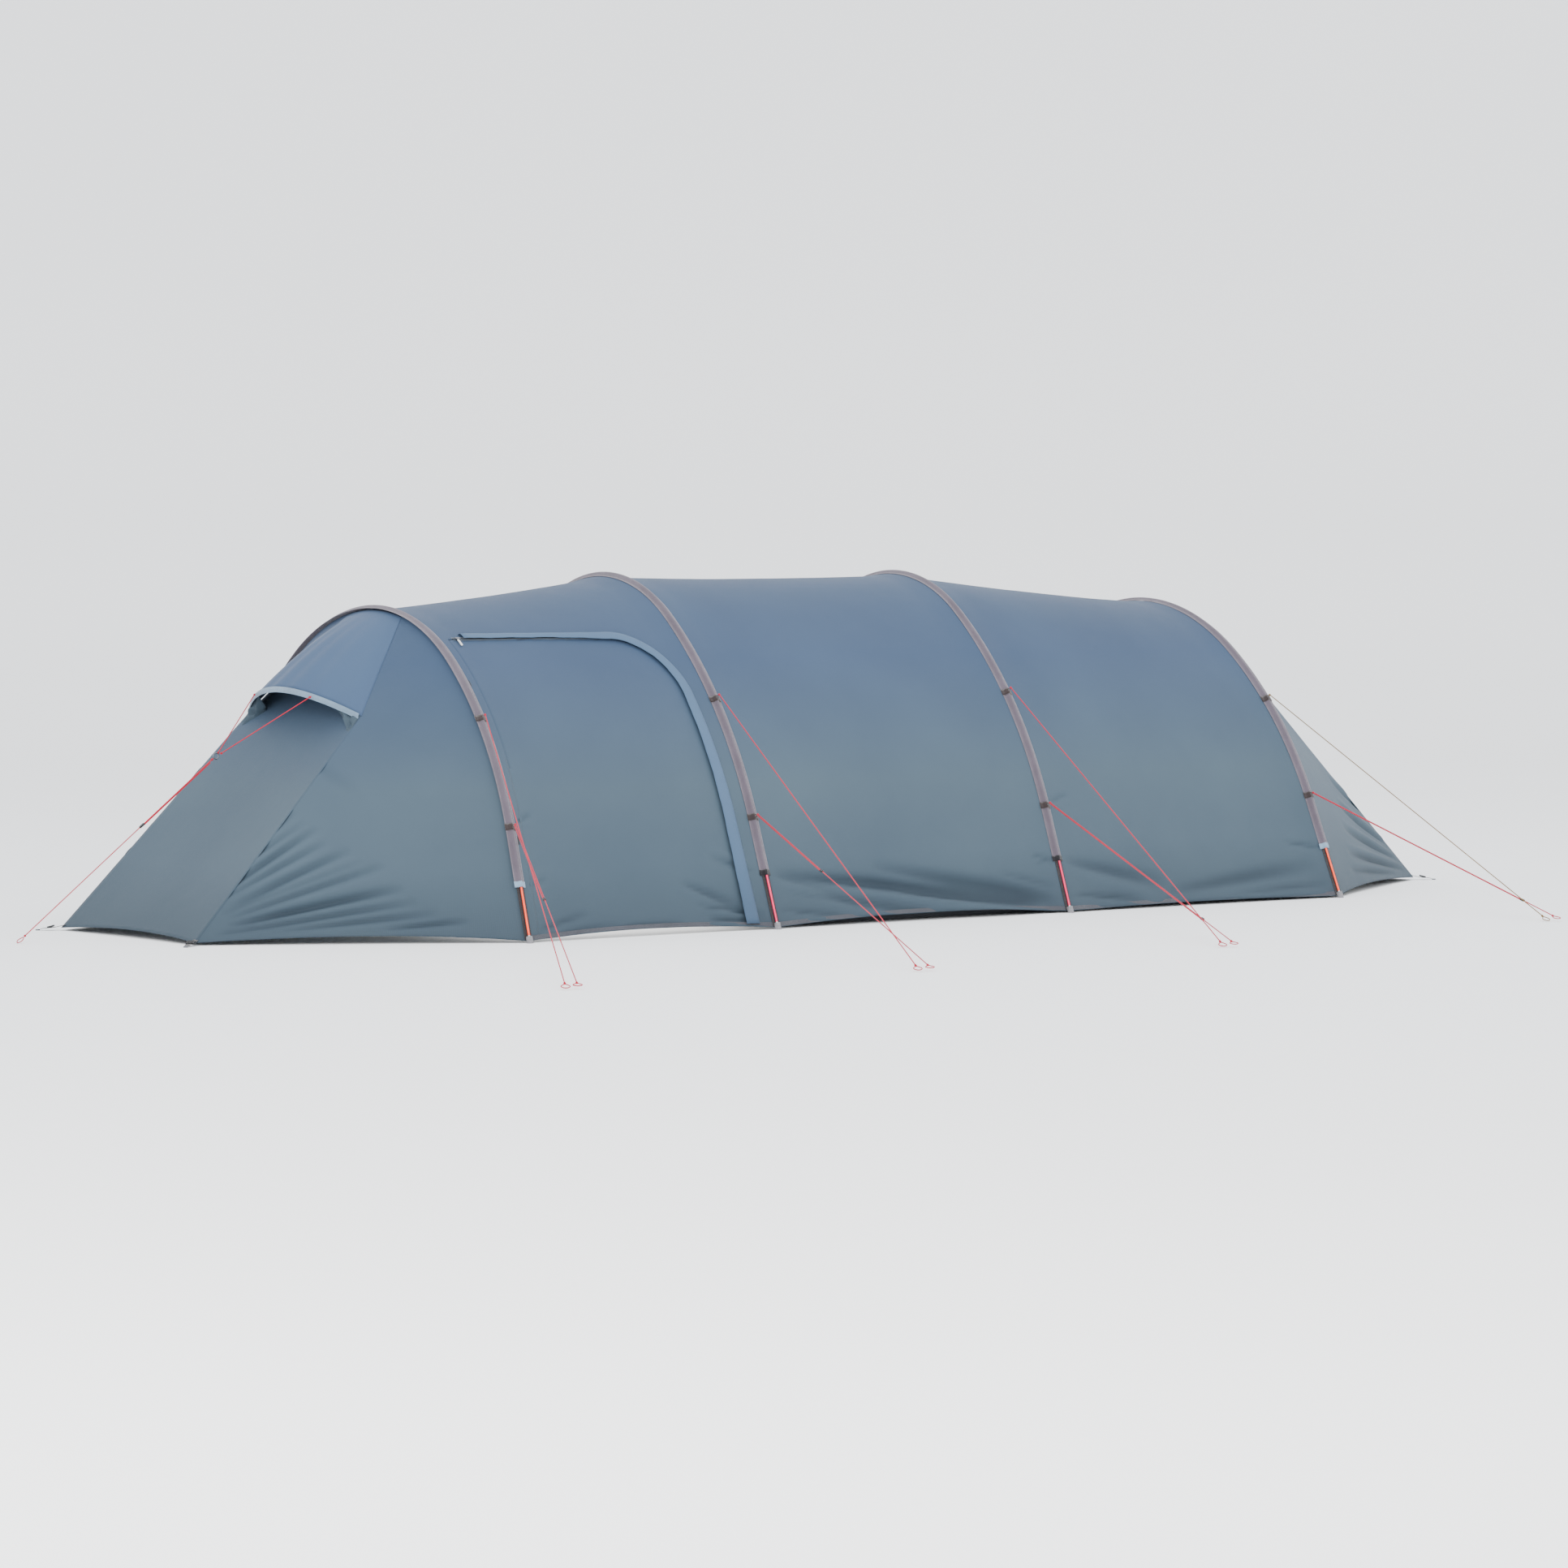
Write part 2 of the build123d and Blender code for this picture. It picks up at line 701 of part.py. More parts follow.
    def vent_mesh(self):
        """The mesh behind the hood, from the end panel's top up to the crown."""
        count = 4
        half = CREASE_HALF_WIDTH - 3 * PANEL_GAP
        crown = self.crown_row(CROWN_HALF_WIDTH - 4 * PANEL_GAP, MESH_DROP, count)
        foot = [
            self.point(CREASE_BACK - 8, (-1 + 2 * i / count) * half, CREASE_HEIGHT + 8)
            for i in range(count + 1)
        ]
        rows = [[blend(a, b, share) for a, b in zip(foot, crown)] for share in (0, 0.5, 1)]
        return slab(rows, Vector(self.side * 0.5, 0, 0.86) * 1.2)

    def corner_way(self, hand):
        """The direction in which a corner is pegged out, over the ground."""
        return Vector(self.side * 0.8, hand * 0.6, 0)

    def corner_strap(self, hand):
        """Webbing from a corner of the hem out and down to its grommet."""
        corner = Vector(*self.point(NOSE_LENGTH, hand * NOSE_HALF_WIDTH, HEM_LIFT))
        way = self.corner_way(hand)
        start = corner + way * 8
        end = corner + way * CORNER_STRAP_LENGTH
        end = Vector(end.X, end.Y, GROMMET_HEIGHT)
        across = way.cross(Vector(0, 0, 1)) * (CORNER_STRAP_WIDTH / 2)
        rows = [[tuple(p - across), tuple(p + across)] for p in (start, end)]
        return slab(rows, Vector(0, 0, STRAP_WALL))

    def corner_buckle(self, hand):
        """A ladder-lock buckle round the corner strap."""
        corner = Vector(*self.point(NOSE_LENGTH, hand * NOSE_HALF_WIDTH, HEM_LIFT))
        way = self.corner_way(hand)
        start = corner + way * 8
        end = corner + way * CORNER_STRAP_LENGTH
        end = Vector(end.X, end.Y, GROMMET_HEIGHT)
        along = (end - start).normalized()
        centre = start + (end - start) * 0.45 + Vector(0, 0, STRAP_WALL / 2)
        frame = Plane(origin=centre, x_dir=along, z_dir=along.cross(way.cross(Vector(0, 0, 1))))
        if frame.z_dir.Z < 0:
            frame = Plane(origin=centre, x_dir=along, z_dir=frame.z_dir * -1)
        width = CORNER_STRAP_WIDTH + 9
        block = Box(BUCKLE_LENGTH, width, 7) - Box(2 * BUCKLE_LENGTH, CORNER_STRAP_WIDTH + 1.4, 3)
        slots = [Pos(x, 0, 0) * Box(7, CORNER_STRAP_WIDTH + 1.4, 20) for x in (-7, 7)]
        return frame * (block - slots[0] - slots[1])

    def grommet(self, hand):
        """The metal eye that a peg goes through, flat on the ground."""
        corner = Vector(*self.point(NOSE_LENGTH, hand * NOSE_HALF_WIDTH, 0))
        centre = corner + self.corner_way(hand) * (CORNER_STRAP_LENGTH + GROMMET_RADIUS + 1.5)
        ring = Cylinder(GROMMET_RADIUS, GROMMET_HEIGHT) - Cylinder(
            GROMMET_BORE_RADIUS, 2 * GROMMET_HEIGHT
        )
        return Pos(centre.X, centre.Y, GROMMET_HEIGHT / 2) * ring


NOSE = End(ARCHES[0], -1)
TAIL = End(ARCHES[3], 1)


# Guy lines


def guy_ends(name):
    """The two ends of a line and the direction from its top end to its bottom end."""
    start, end = (Vector(*p) for p in GUY_ROUTES[name])
    return start, end, (end - start).normalized()


def guy_line(name):
    """The taut cord between its two knots."""
    start, end, way = guy_ends(name)
    half = way * (KNOT_LENGTH / 2)
    return rod(start + half, end - half, CORD_RADIUS)


def guy_knots(name):
    """The knot at each end of a line."""
    start, end, way = guy_ends(name)
    half = way * (KNOT_LENGTH / 2)
    return [rod(p - half, p + half, KNOT_RADIUS) for p in (start, end)]


def peg_loop(name):
    """The cord loop at the ground end of a line, which goes round a peg."""
    _, end, way = guy_ends(name)
    across = way.cross(Vector(0, 0, 1)).normalized()
    centre = end + way * (KNOT_LENGTH / 2 + LOOP_RADIUS + CORD_RADIUS + 0.3)
    return Plane(origin=centre, x_dir=way, z_dir=way.cross(across)) * Torus(LOOP_RADIUS, CORD_RADIUS)


def bridle_ring():
    """The ring that joins the hood's two ties to the nose's guy line."""
    return Pos(*RING_AT) * Rot(90, 0, 0) * Torus(RING_RADIUS, RING_WIRE)


def guy_slider(name):
    """The tensioner on a line, bored for the cord that runs through it."""
    start, end, way = guy_ends(name)
    centre = start + (end - start) * SLIDER_SHARES[name]
    length, width, height = SLIDER_BAR
    bar = Box(length, width, height)
    bar = fillet(bar.edges().filter_by(Axis.Z), 4)
    bore = Rot(0, 90, 0) * Cylinder(SLIDER_BORE, 2 * length)
    across = [Pos(x, 0, 0) * Cylinder(2.6, 3 * height) for x in (-8, 8)]
    side = way.cross(Vector(0, 0, 1)).normalized()
    plane = Plane(origin=centre, x_dir=way, z_dir=side.cross(way))
    return plane * (bar - bore - across[0] - across[1])


# Inner tent


def inner_start(arch):
    """The arc length where the inner wall clears the tub's rim."""
    height = TUB_HEIGHT + TUB_GAP
    return height / (cos(radians(LEG_SPLAY)) * cos(arch.lean)) + INNER_DROP * tan(radians(LEG_SPLAY))


def inner_shell():
    """The inner tent's cloth over three arches, open at both ends."""
    sections = []
    for arch, along in ((ARCHES[1], INNER_END_GAP), (ARCHES[2], 0.0), (ARCHES[3], -INNER_END_GAP)):
        s = inner_start(arch)
        sections.append(
            arch.section(s, arch.length - s, -INNER_DROP - INNER_WALL, -INNER_DROP, along)
        )
    return Solid.make_loft(sections, ruled=True)


def tub_half_width():
    """Half the floor's width, so that its rim stands just inside the inner wall's foot."""
    arch = ARCHES[1]
    return -arch.at(inner_start(arch), -INNER_DROP - INNER_WALL).Y


def groundsheet():
    """A waterproof tub floor with a low rim."""
    low = ARCHES[1].x + INNER_END_GAP
    high = ARCHES[3].x - INNER_END_GAP - TUB_HEIGHT * tan(-ARCHES[3].lean)
    half = tub_half_width()
    outside = Box(high - low, 2 * half, TUB_HEIGHT)
    inside = Pos(0, 0, TUB_WALL) * Box(high - low - 2 * TUB_WALL, 2 * (half - TUB_WALL), TUB_HEIGHT)
    return Pos((low + high) / 2, 0, TUB_HEIGHT / 2) * (outside - inside)


def wall_plate(arch, along):
    """An end wall that fills the inner tent's outline."""
    s = inner_start(arch)
    top = arch.path(s, arch.length - s, -INNER_DROP - INNER_WALL, along)
    face = Face(Wire(top + [Edge.make_line(top[-1] @ 1, top[0] @ 0)]))
    return Solid.extrude(face, arch.forward() * INNER_WALL)


def inner_door_shape(inset):
    half = INNER_DOOR_HALF_WIDTH - inset
    height = INNER_DOOR_HEIGHT - 2 * inset
    sketch = RectangleRounded(2 * half, height, INNER_DOOR_CORNER - inset)
    middle = INNER_DOOR_SILL + INNER_DOOR_HEIGHT / 2
    plane = Plane(origin=(ARCHES[1].x, 0, middle), x_dir=(0, 1, 0), z_dir=(1, 0, 0))
    return extrude(plane * sketch, 2 * INNER_END_GAP)


def inner_front_wall():
    return wall_plate(ARCHES[1], INNER_END_GAP - INNER_STEP) - inner_door_shape(0)


def inner_door():
    return wall_plate(ARCHES[1], INNER_END_GAP - INNER_STEP) & inner_door_shape(INNER_DOOR_GAP)


def inner_rear_wall():
    return wall_plate(ARCHES[3], INNER_STEP - INNER_END_GAP - INNER_WALL)


def inner_hangers():
    """Elastic loops that hang the inner tent from the fly under each arch."""
    bars = []
    for arch, along in zip(ARCHES[1:], (INNER_END_GAP + 20, 0, -INNER_END_GAP - 20)):
        for i in range(HANGERS_PER_ARCH):
            first = arch.length * 0.2
            s = first + (arch.length - 2 * first) * i / (HANGERS_PER_ARCH - 1)
            low = arch.at(s, -INNER_DROP + HANGER_PLAY + 4, along)
            high = arch.at(s, -FLY_DROP - FLY_WALL - HANGER_PLAY - 4, along)
            bars.append(rod(low, high, HANGER_RADIUS))
    return bars


def each(make, arches=ARCHES):
    return [piece for arch in arches for piece in make(arch)]


def parts():
    made = {}
    for name, arch in zip(ARCH_NAMES, ARCHES):
        made[f"pole_{name}"] = pole_sections(arch)
    made["pole_sleeves"] = [pole_sleeve(arch) for arch in ARCHES]
    made["pole_ferrules"] = each(ferrules)
    made["pole_shock_cords"] = [shock_cord(arch) for arch in ARCHES]
    made["pole_tips"] = each(pole_tips)
    made["pole_cups"] = each(pole_cups)
    made["sleeve_cuffs"] = each(sleeve_cuffs)
    made["guy_bands"] = [guy_band(arch, s) for arch in ARCHES for s in band_stations(arch)]
    made["foot_straps"] = each(foot_straps)
    fly = (-FLY_DROP - FLY_WALL, -FLY_DROP)
    made["fly_front_bay"] = [front_bay()]
    made["fly_middle_bay"] = [bay_skin(ARCHES[1], ARCHES[2], *fly)]
    made["fly_rear_bay"] = [bay_skin(ARCHES[2], ARCHES[3], *fly)]
    made["door_panel"] = [door_panel()]
    made["door_zip"] = [door_zip()]
    made["door_storm_flap"] = [storm_flap()]
    made["door_zip_slider"] = [zip_slider()]
    made["door_zip_pull"] = [zip_pull()]
    made["door_toggles"] = door_toggles()
    made["nose_side_near"] = [NOSE.side_panel(-1)]
    made["nose_side_far"] = [NOSE.side_panel(1)]
    made["nose_front_panel"] = [NOSE.end_panel(False)]
    made["vent_hood"] = [NOSE.hood()]
    made["vent_hood_rod"] = [NOSE.hood_rod()]
    made["vent_mesh"] = [NOSE.vent_mesh()]
    made["tail_side_near"] = [TAIL.side_panel(-1)]
    made["tail_side_far"] = [TAIL.side_panel(1)]
    made["tail_panel"] = [TAIL.end_panel(True)]
    corners = [(end, hand) for end in (NOSE, TAIL) for hand in (-1, 1)]
    made["corner_straps"] = [end.corner_strap(hand) for end, hand in corners]
    made["corner_buckles"] = [end.corner_buckle(hand) for end, hand in corners]
    made["corner_grommets"] = [end.grommet(hand) for end, hand in corners]
    for name in GUY_ROUTES:
        made[name] = [guy_line(name)]
    grounded = [name for name in GUY_ROUTES if name.startswith("guy_line")]
    made["guy_knots"] = [knot for name in GUY_ROUTES for knot in guy_knots(name)]
    made["peg_loops"] = [peg_loop(name) for name in grounded]
    made["bridle_ring"] = [bridle_ring()]
    for name in SLIDER_SHARES:
        made[name.replace("line", "slider")] = [guy_slider(name)]
    made["inner_shell"] = [inner_shell()]
    made["inner_groundsheet"] = [groundsheet()]
    made["inner_front_wall"] = [inner_front_wall()]
    made["inner_door"] = [inner_door()]
    made["inner_rear_wall"] = [inner_rear_wall()]
    made["inner_hangers"] = inner_hangers()
    return made


def write(made):
    os.makedirs("parts", exist_ok=True)
    for name, solids in made.items():
        shape = solids[0] if len(solids) == 1 else Compound(children=[Part() + s for s in solids])
        export_step(shape, f"parts/{name}.step")


if __name__ == "__main__":
    write(parts())
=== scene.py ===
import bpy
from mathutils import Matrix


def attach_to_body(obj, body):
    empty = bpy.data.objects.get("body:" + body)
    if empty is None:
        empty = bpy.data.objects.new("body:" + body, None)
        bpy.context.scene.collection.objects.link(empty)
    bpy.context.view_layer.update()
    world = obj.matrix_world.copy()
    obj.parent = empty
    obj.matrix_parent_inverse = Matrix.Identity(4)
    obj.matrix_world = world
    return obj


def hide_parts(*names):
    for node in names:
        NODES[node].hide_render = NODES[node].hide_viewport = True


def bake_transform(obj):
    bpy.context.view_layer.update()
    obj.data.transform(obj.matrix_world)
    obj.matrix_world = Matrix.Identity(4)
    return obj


bl_info = {
    "name": "Tunnel tent on four poles",
    "version": (1, 0, 0),
    "blender": (4, 5, 0),
    "location": "3D View > Sidebar > Tent",
    "description": "Cloth, webbing, cords and finishes of a tunnel tent, round its frame",
    "category": "Object",
}

from math import cos, pi, radians, sin, tan

import bmesh
import bpy
import numpy as np
from mathutils import Matrix, Vector, noise

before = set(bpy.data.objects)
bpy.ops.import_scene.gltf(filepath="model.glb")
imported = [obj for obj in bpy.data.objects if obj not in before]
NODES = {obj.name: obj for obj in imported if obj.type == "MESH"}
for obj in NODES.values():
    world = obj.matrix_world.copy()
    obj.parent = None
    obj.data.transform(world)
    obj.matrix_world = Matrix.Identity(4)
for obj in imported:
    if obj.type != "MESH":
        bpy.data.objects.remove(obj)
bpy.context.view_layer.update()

# Sizes, in metres, that this script shares with the frame.
HALF_WIDTH = 1.305
LEG_SPLAY = radians(20)
LEG_LENGTH = 0.5
SIDE_TURN = radians(30.5)
FEET = (-2.3475, -1.0225, 0.6625, 2.3475)
HEIGHTS = (1.412, 1.55, 1.55, 1.412)
LEANS = (radians(3.2), 0.0, 0.0, radians(-4.9))
# Where each run of an arch starts, as a share of the way over it.
RUN_SHARES = (0.0, 0.116, 0.375, 0.625, 0.884, 1.0)
HEM_HEIGHT = 0.012
# The hem tape's lower edge and width, as shares of the way over an arch.
HEM_TAPE_LOW = 0.0005
HEM_TAPE_WIDTH = 0.00468
FLY_DROP = 0.0185
EDGE_DROP = 0.0095
END_DROP = EDGE_DROP + 0.001
SETTLE_WIDTH = 0.15
SEAM = 0.0005
SLEEVE_START = 0.25
SLEEVE_HALF = 0.027
BAND_LENGTH = 0.03
LUG_RADIUS = 0.0065
LOWER_BAND = 0.518
UPPER_BANDS = (1.045, 1.105, 1.105, 1.045)
DOOR_FRONT = 0.066
DOOR_REAR = 1.2
DOOR_TOP = 1.272
DOOR_CORNER = 0.25
DOOR_HINGE = 0.06
# The width and height that the door was cut to.
DOOR_CUT = (1.135, 1.42)
TAPE_HALF = 0.007
ZIP_START = 0.165
FLAP_START = 0.215
NOSE_LENGTH = 1.2
CORNER_HALF = 0.557
KNEE_BACK = 0.29
KNEE_HALF = 0.45
KNEE_HEIGHT = 0.945
KNEE_SHARE = 0.75
KNEE_ROUND = 0.025
SIDE_RISE = 0.016
SIDE_SAG = 0.016
FRONT_RISE = 0.024
FRONT_SAG = 0.018
CROWN_HALF = 0.22
HOOD_REACH = 0.42
HOOD_HEIGHT = 1.06
HOOD_CORNER_LIFT = 0.003
HOOD_CROWN = 0.03
# Where the hood's hem ends, as a share of its half width.
HOOD_END = 0.985
# How far up the net the end panel's cloth reaches behind the hood.
NET_START = 0.38
STRAP_LENGTH = 0.09
STRAP_HALF = 0.0125
INNER_DROP = 0.088
INNER_GAP = 0.06
INNER_DOOR_HALF = 0.43
INNER_DOOR_LOW = 0.17
INNER_DOOR_HIGH = 1.15
INNER_DOOR_CORNER = 0.22
# The width and height that the inner tent's front wall and door were cut to.
INNER_WALL_CUT = (2.05, 1.33)
INNER_DOOR_CUT = (0.86, 0.98)
TUB_HEIGHT = 0.092
TUB_RIM_SHARE = 0.12
UNEVENNESS = 0.0012
# Cloth within this of the ridge line stays free of creases.
CREASE_FREE_HALF = 0.2
# Creases take up a little more cloth than the smooth shape does.
CREASE_ALLOWANCE = 1.005

# The fly's woven pattern, and the height that its colours, with their painted shade and painted sky
# reflection, are spread over.
RIPSTOP_PITCH = 0.005
THREAD_PITCH = 0.0009
RIDGE_HEIGHT = 1.5

# The camera's place, how far it looks down and which way it faces.
CAMERA_PLACE = (-15.716, -20.477, 1.778)
CAMERA_DIP = 0.04717
CAMERA_TURN = -0.65494
# Distance behind the tent and height of each row of the floor and its backdrop.
BACKDROP = ((-40, 0), (10, 0), (16, 0), (19, 0.5), (21, 1.8), (22, 4), (22.3, 26))

# Guy lines: the ends of each between the middles of its knots.
GUY_LINES = {
    "front_upper": ((-2.293, -0.893, 0.957), (-3.572, -3.290, 0.024)),
    "front_lower": ((-2.319, -1.157, 0.497), (-3.522, -3.300, 0.024)),
    "second_upper": ((-1.022, -0.874, 1.019), (-1.972, -3.440, 0.024)),
    "second_lower": ((-1.022, -1.157, 0.498), (-1.922, -3.455, 0.024)),
    "third_upper": ((0.662, -0.874, 1.019), (-0.172, -3.245, 0.024)),
    "third_lower": ((0.662, -1.157, 0.498), (-0.122, -3.260, 0.024)),
    "rear_upper": ((2.264, -0.893, 0.956), (1.988, -2.995, 0.024)),
    "rear_lower": ((2.304, -1.157, 0.496), (2.038, -3.010, 0.024)),
    "nose": ((-3.115, 0.0, 0.755), (-4.045, 0.0, 0.032)),
}
BRIDLES = {
    "near": ((-2.757, -0.225, 1.024), (-3.076, -0.014, 0.782)),
    "far": ((-2.757, 0.225, 1.024), (-3.076, 0.014, 0.782)),
}
TENSIONER_SHARES = {
    "front_lower": 0.5,
    "second_lower": 0.4,
    "third_lower": 0.85,
    "rear_lower": 0.88,
    "nose": 0.38,
}
CORD_RADIUS = 0.002
KNOT_HALF = 0.007
KNOT_SIZE = 0.0042
KNOT_CORD_RADIUS = 0.0018
# How far a lower line's second strand lies from it.
STRAND_GAP = 0.011
STRAND_END = 0.012
LOOP_RADIUS = 0.018

# Creases in the cloth, as start and end in X and Z, half width and depth.
NOSE_CREASES = (
    ((-3.284, 0.353), (-3.012, 0.555), 0.014, -0.004),
    ((-3.318, 0.300), (-2.985, 0.520), 0.012, -0.004),
    ((-3.368, 0.224), (-2.960, 0.490), 0.013, -0.006),
    ((-3.390, 0.190), (-2.950, 0.430), 0.012, -0.005),
    ((-3.376, 0.155), (-2.880, 0.395), 0.014, -0.006),
    ((-3.420, 0.125), (-2.850, 0.350), 0.012, -0.004),
    ((-3.402, 0.110), (-2.780, 0.330), 0.014, -0.006),
    ((-3.411, 0.080), (-2.740, 0.235), 0.016, -0.009),
    ((-3.460, 0.045), (-2.700, 0.180), 0.014, -0.007),
    ((-3.307, 0.050), (-2.640, 0.130), 0.013, -0.006),
    ((-2.860, 0.062), (-2.540, 0.095), 0.011, -0.006),
    ((-2.980, 0.900), (-2.780, 0.620), 0.026, -0.0015),
)
TAIL_CREASES = (
    ((3.330, 0.300), (2.950, 0.520), 0.014, -0.004),
    ((3.380, 0.180), (2.880, 0.400), 0.014, -0.006),
    ((3.410, 0.110), (2.780, 0.300), 0.014, -0.006),
    ((3.440, 0.060), (2.700, 0.190), 0.014, -0.007),
    ((3.300, 0.050), (2.640, 0.110), 0.012, -0.005),
)
FRONT_CREASES = (
    ((-2.300, 0.045), (-2.000, 0.110), 0.012, -0.004),
    ((-2.240, 0.035), (-1.850, 0.055), 0.010, -0.004),
    ((-1.420, 0.120), (-1.060, 0.065), 0.012, -0.006),
    ((-1.380, 0.060), (-1.050, 0.035), 0.012, -0.006),
    ((-1.480, 0.220), (-1.180, 0.100), 0.020, -0.005),
    ((-1.900, 0.050), (-1.500, 0.045), 0.011, -0.004),
    ((-2.290, 0.235), (-2.180, 0.260), 0.010, -0.003),
    ((-2.290, 0.500), (-2.190, 0.535), 0.009, -0.003),
    ((-1.060, 0.250), (-1.300, 0.330), 0.014, -0.003),
)
MIDDLE_CREASES = (
    ((-0.990, 0.240), (0.640, 0.050), 0.030, -0.011),
    ((-0.420, 0.250), (0.600, 0.080), 0.030, -0.007),
    ((-0.300, 0.130), (0.520, 0.040), 0.018, -0.008),
    ((-0.880, 0.150), (-0.100, 0.035), 0.022, -0.005),
    ((-0.960, 0.225), (-0.560, 0.120), 0.018, -0.004),
    ((-0.990, 0.080), (-0.620, 0.045), 0.012, -0.004),
    ((0.300, 0.200), (0.630, 0.120), 0.014, -0.003),
    ((0.520, 0.265), (0.640, 0.235), 0.010, -0.004),
    ((0.540, 0.230), (0.640, 0.215), 0.008, -0.003),
)
REAR_CREASES = (
    ((0.700, 0.235), (1.300, 0.110), 0.030, -0.006),
    ((0.700, 0.080), (1.150, 0.045), 0.014, -0.005),
    ((1.300, 0.070), (2.260, 0.160), 0.030, -0.006),
    ((1.700, 0.045), (2.300, 0.070), 0.014, -0.005),
    ((2.080, 0.270), (2.320, 0.235), 0.012, -0.004),
    ((0.690, 0.500), (0.820, 0.530), 0.010, -0.003),
)


# Small tools


def smooth(x):
    x = min(max(x, 0.0), 1.0)
    return x * x * (3 - 2 * x)


def srgb(red, green, blue):
    """A linear colour from one written as 0 to 255."""
    shares = [c / 255 for c in (red, green, blue)]
    return tuple(s / 12.92 if s <= 0.04045 else ((s + 0.055) / 1.055) ** 2.4 for s in shares)


def steps(count):
    return [i / count for i in range(count + 1)]


def side_to_side(count):
    """Steps from -1 to 1."""
    return [-1 + 2 * c for c in steps(count)]


def turn_angles(count):
    """Even angles round a whole turn."""
    return [2 * pi * i / count for i in range(count)]


def put(name, mesh, material=None):
    """A new object at the origin with this mesh."""
    piece = bpy.data.objects.new(name, mesh)
    bpy.context.scene.collection.objects.link(piece)
    if material:
        mesh.materials.append(material)
    return piece


def settle(piece):
    """Applies the piece's modifiers to its mesh."""
    depsgraph = bpy.context.evaluated_depsgraph_get()
    mesh = bpy.data.meshes.new_from_object(piece.evaluated_get(depsgraph))
    piece.modifiers.clear()
    piece.data = mesh
    return piece


def run_length(points):
    return sum((b - a).length for a, b in zip(points, points[1:]))


def grid(rows, inside, closed=False):
    """A bmesh over rows of points, with a UV map in metres and faces away from inside."""
    bm = bmesh.new()
    uv = bm.loops.layers.uv.new("UVMap")
    verts = [[bm.verts.new(p) for p in row] for row in rows]
    width = len(rows[0])
    middle = rows[len(rows) // 2]
    middle = list(middle) + ([middle[0]] if closed else [])
    us = [0.0]
    for a, b in zip(middle, middle[1:]):
        us.append(us[-1] + (b - a).length)
    column = [row[width // 2] for row in rows]
    vs = [0.0]
    for a, b in zip(column, column[1:]):
        vs.append(vs[-1] + (b - a).length)
    for i in range(len(rows) - 1):
        for j in range(width if closed else width - 1):
            k = (j + 1) % width
            corners = [(i, j, j), (i, k, j + 1), (i + 1, k, j + 1), (i + 1, j, j)]
            face = bm.faces.new([verts[r][c] for r, c, _ in corners])
            face.smooth = True
            for loop, (r, _, c) in zip(face.loops, corners):
                loop[uv].uv = (us[c], vs[r])
    bm.normal_update()
    outward = sum(
        face.calc_area() * face.normal.dot(face.calc_center_median() - inside)
        for face in bm.faces
    )
    if outward < 0:
        bmesh.ops.reverse_faces(bm, faces=bm.faces[:])
    return bm


def to_mesh(bm, name):
    mesh = bpy.data.meshes.new(name)
    bm.normal_update()
    bm.to_mesh(mesh)
    bm.free()
    return mesh


def press(mesh, creases, unevenness=UNEVENNESS):
    """Presses creases and a slight unevenness into cloth; "fold" keeps the creases' depth, which
    the fly's cloth turns into painted shade and highlight.
    """
    count = len(mesh.vertices)
    co, normals = np.zeros(count * 3), np.zeros(count * 3)
    mesh.vertices.foreach_get("co", co)
    mesh.vertices.foreach_get("normal", normals)
    co, normals = co.reshape(-1, 3), normals.reshape(-1, 3)
    lift = np.zeros(count)
    strength = bpy.context.scene.tent_cloth.crease
    for start, end, width, depth in creases:
        way = np.array(end) - np.array(start)
        length = np.linalg.norm(way)
        rel = co[:, [0, 2]] - np.array(start)
        share = rel @ way / length**2
        off = (rel[:, 0] * way[1] - rel[:, 1] * way[0]) / length
        taper = np.sin(pi * np.clip(share, 0, 1)) ** 0.7
        wide = width * (0.7 + 0.6 * np.clip(share, 0, 1))
        # Each crease is a hollow with a lower ridge beside it.
        hollow = np.exp(-((off / wide) ** 2))
        ridge = 0.5 * np.exp(-((off / wide - 1.8) ** 2))
        lift += strength * depth * taper * (hollow - ridge)
    lift *= np.abs(co[:, 1]) > CREASE_FREE_HALF
    mesh.attributes.new("fold", "FLOAT", "POINT").data.foreach_set("value", lift)
    if unevenness:
        rough = [noise.noise(Vector(p) * 3.1) + 0.5 * noise.noise(Vector(p) * 8.3) for p in co]
        lift += np.array(rough) * unevenness
    co += normals * lift[:, None]
    mesh.vertices.foreach_set("co", co.ravel())
    mesh.update()


def flat_size(rows):
    """The width, length and area that rows of points were cut to."""
    width = max(run_length(row) for row in rows)
    length = max(run_length(column) for column in zip(*rows))
    area = 0.0
    for upper, lower in zip(rows, rows[1:]):
        for a, b, c, d in zip(upper, upper[1:], lower[1:], lower):
            area += (c - a).cross(d - b).length / 2
    return width, length, min(area * CREASE_ALLOWANCE, width * length)


def thicken(piece, wall):
    """Gives a sheet its wall, inwards from its outer face."""
    modifier = piece.modifiers.new("wall", "SOLIDIFY")
    modifier.thickness = wall
    modifier.offset = -1.0
    return settle(piece)


def cloth(name, rows, inside, material, body="tent", creases=(), wall=None, closed=False,
          nodes=(), uneven=UNEVENNESS):
    """A sheet of cloth over rows of points, given its wall, made to follow its body, with the nodes
    it stands for hidden.
    """
    mesh = to_mesh(grid(rows, inside, closed), name)
    press(mesh, creases, uneven)
    piece = put(name, mesh, material)
    return declare_cloth(piece, body, wall, nodes)


def attach(piece, body):
    """Makes a piece follow a body; where body names two bodies, its place is only baked into its
    mesh.
    """
    if isinstance(body, str):
        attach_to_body(piece, body)
    else:
        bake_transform(piece)


def declare_cloth(piece, body, wall, nodes):
    thicken(piece, wall or bpy.context.scene.tent_cloth.wall)
    attach(piece, body)
    if nodes:
        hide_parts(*nodes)
    return piece


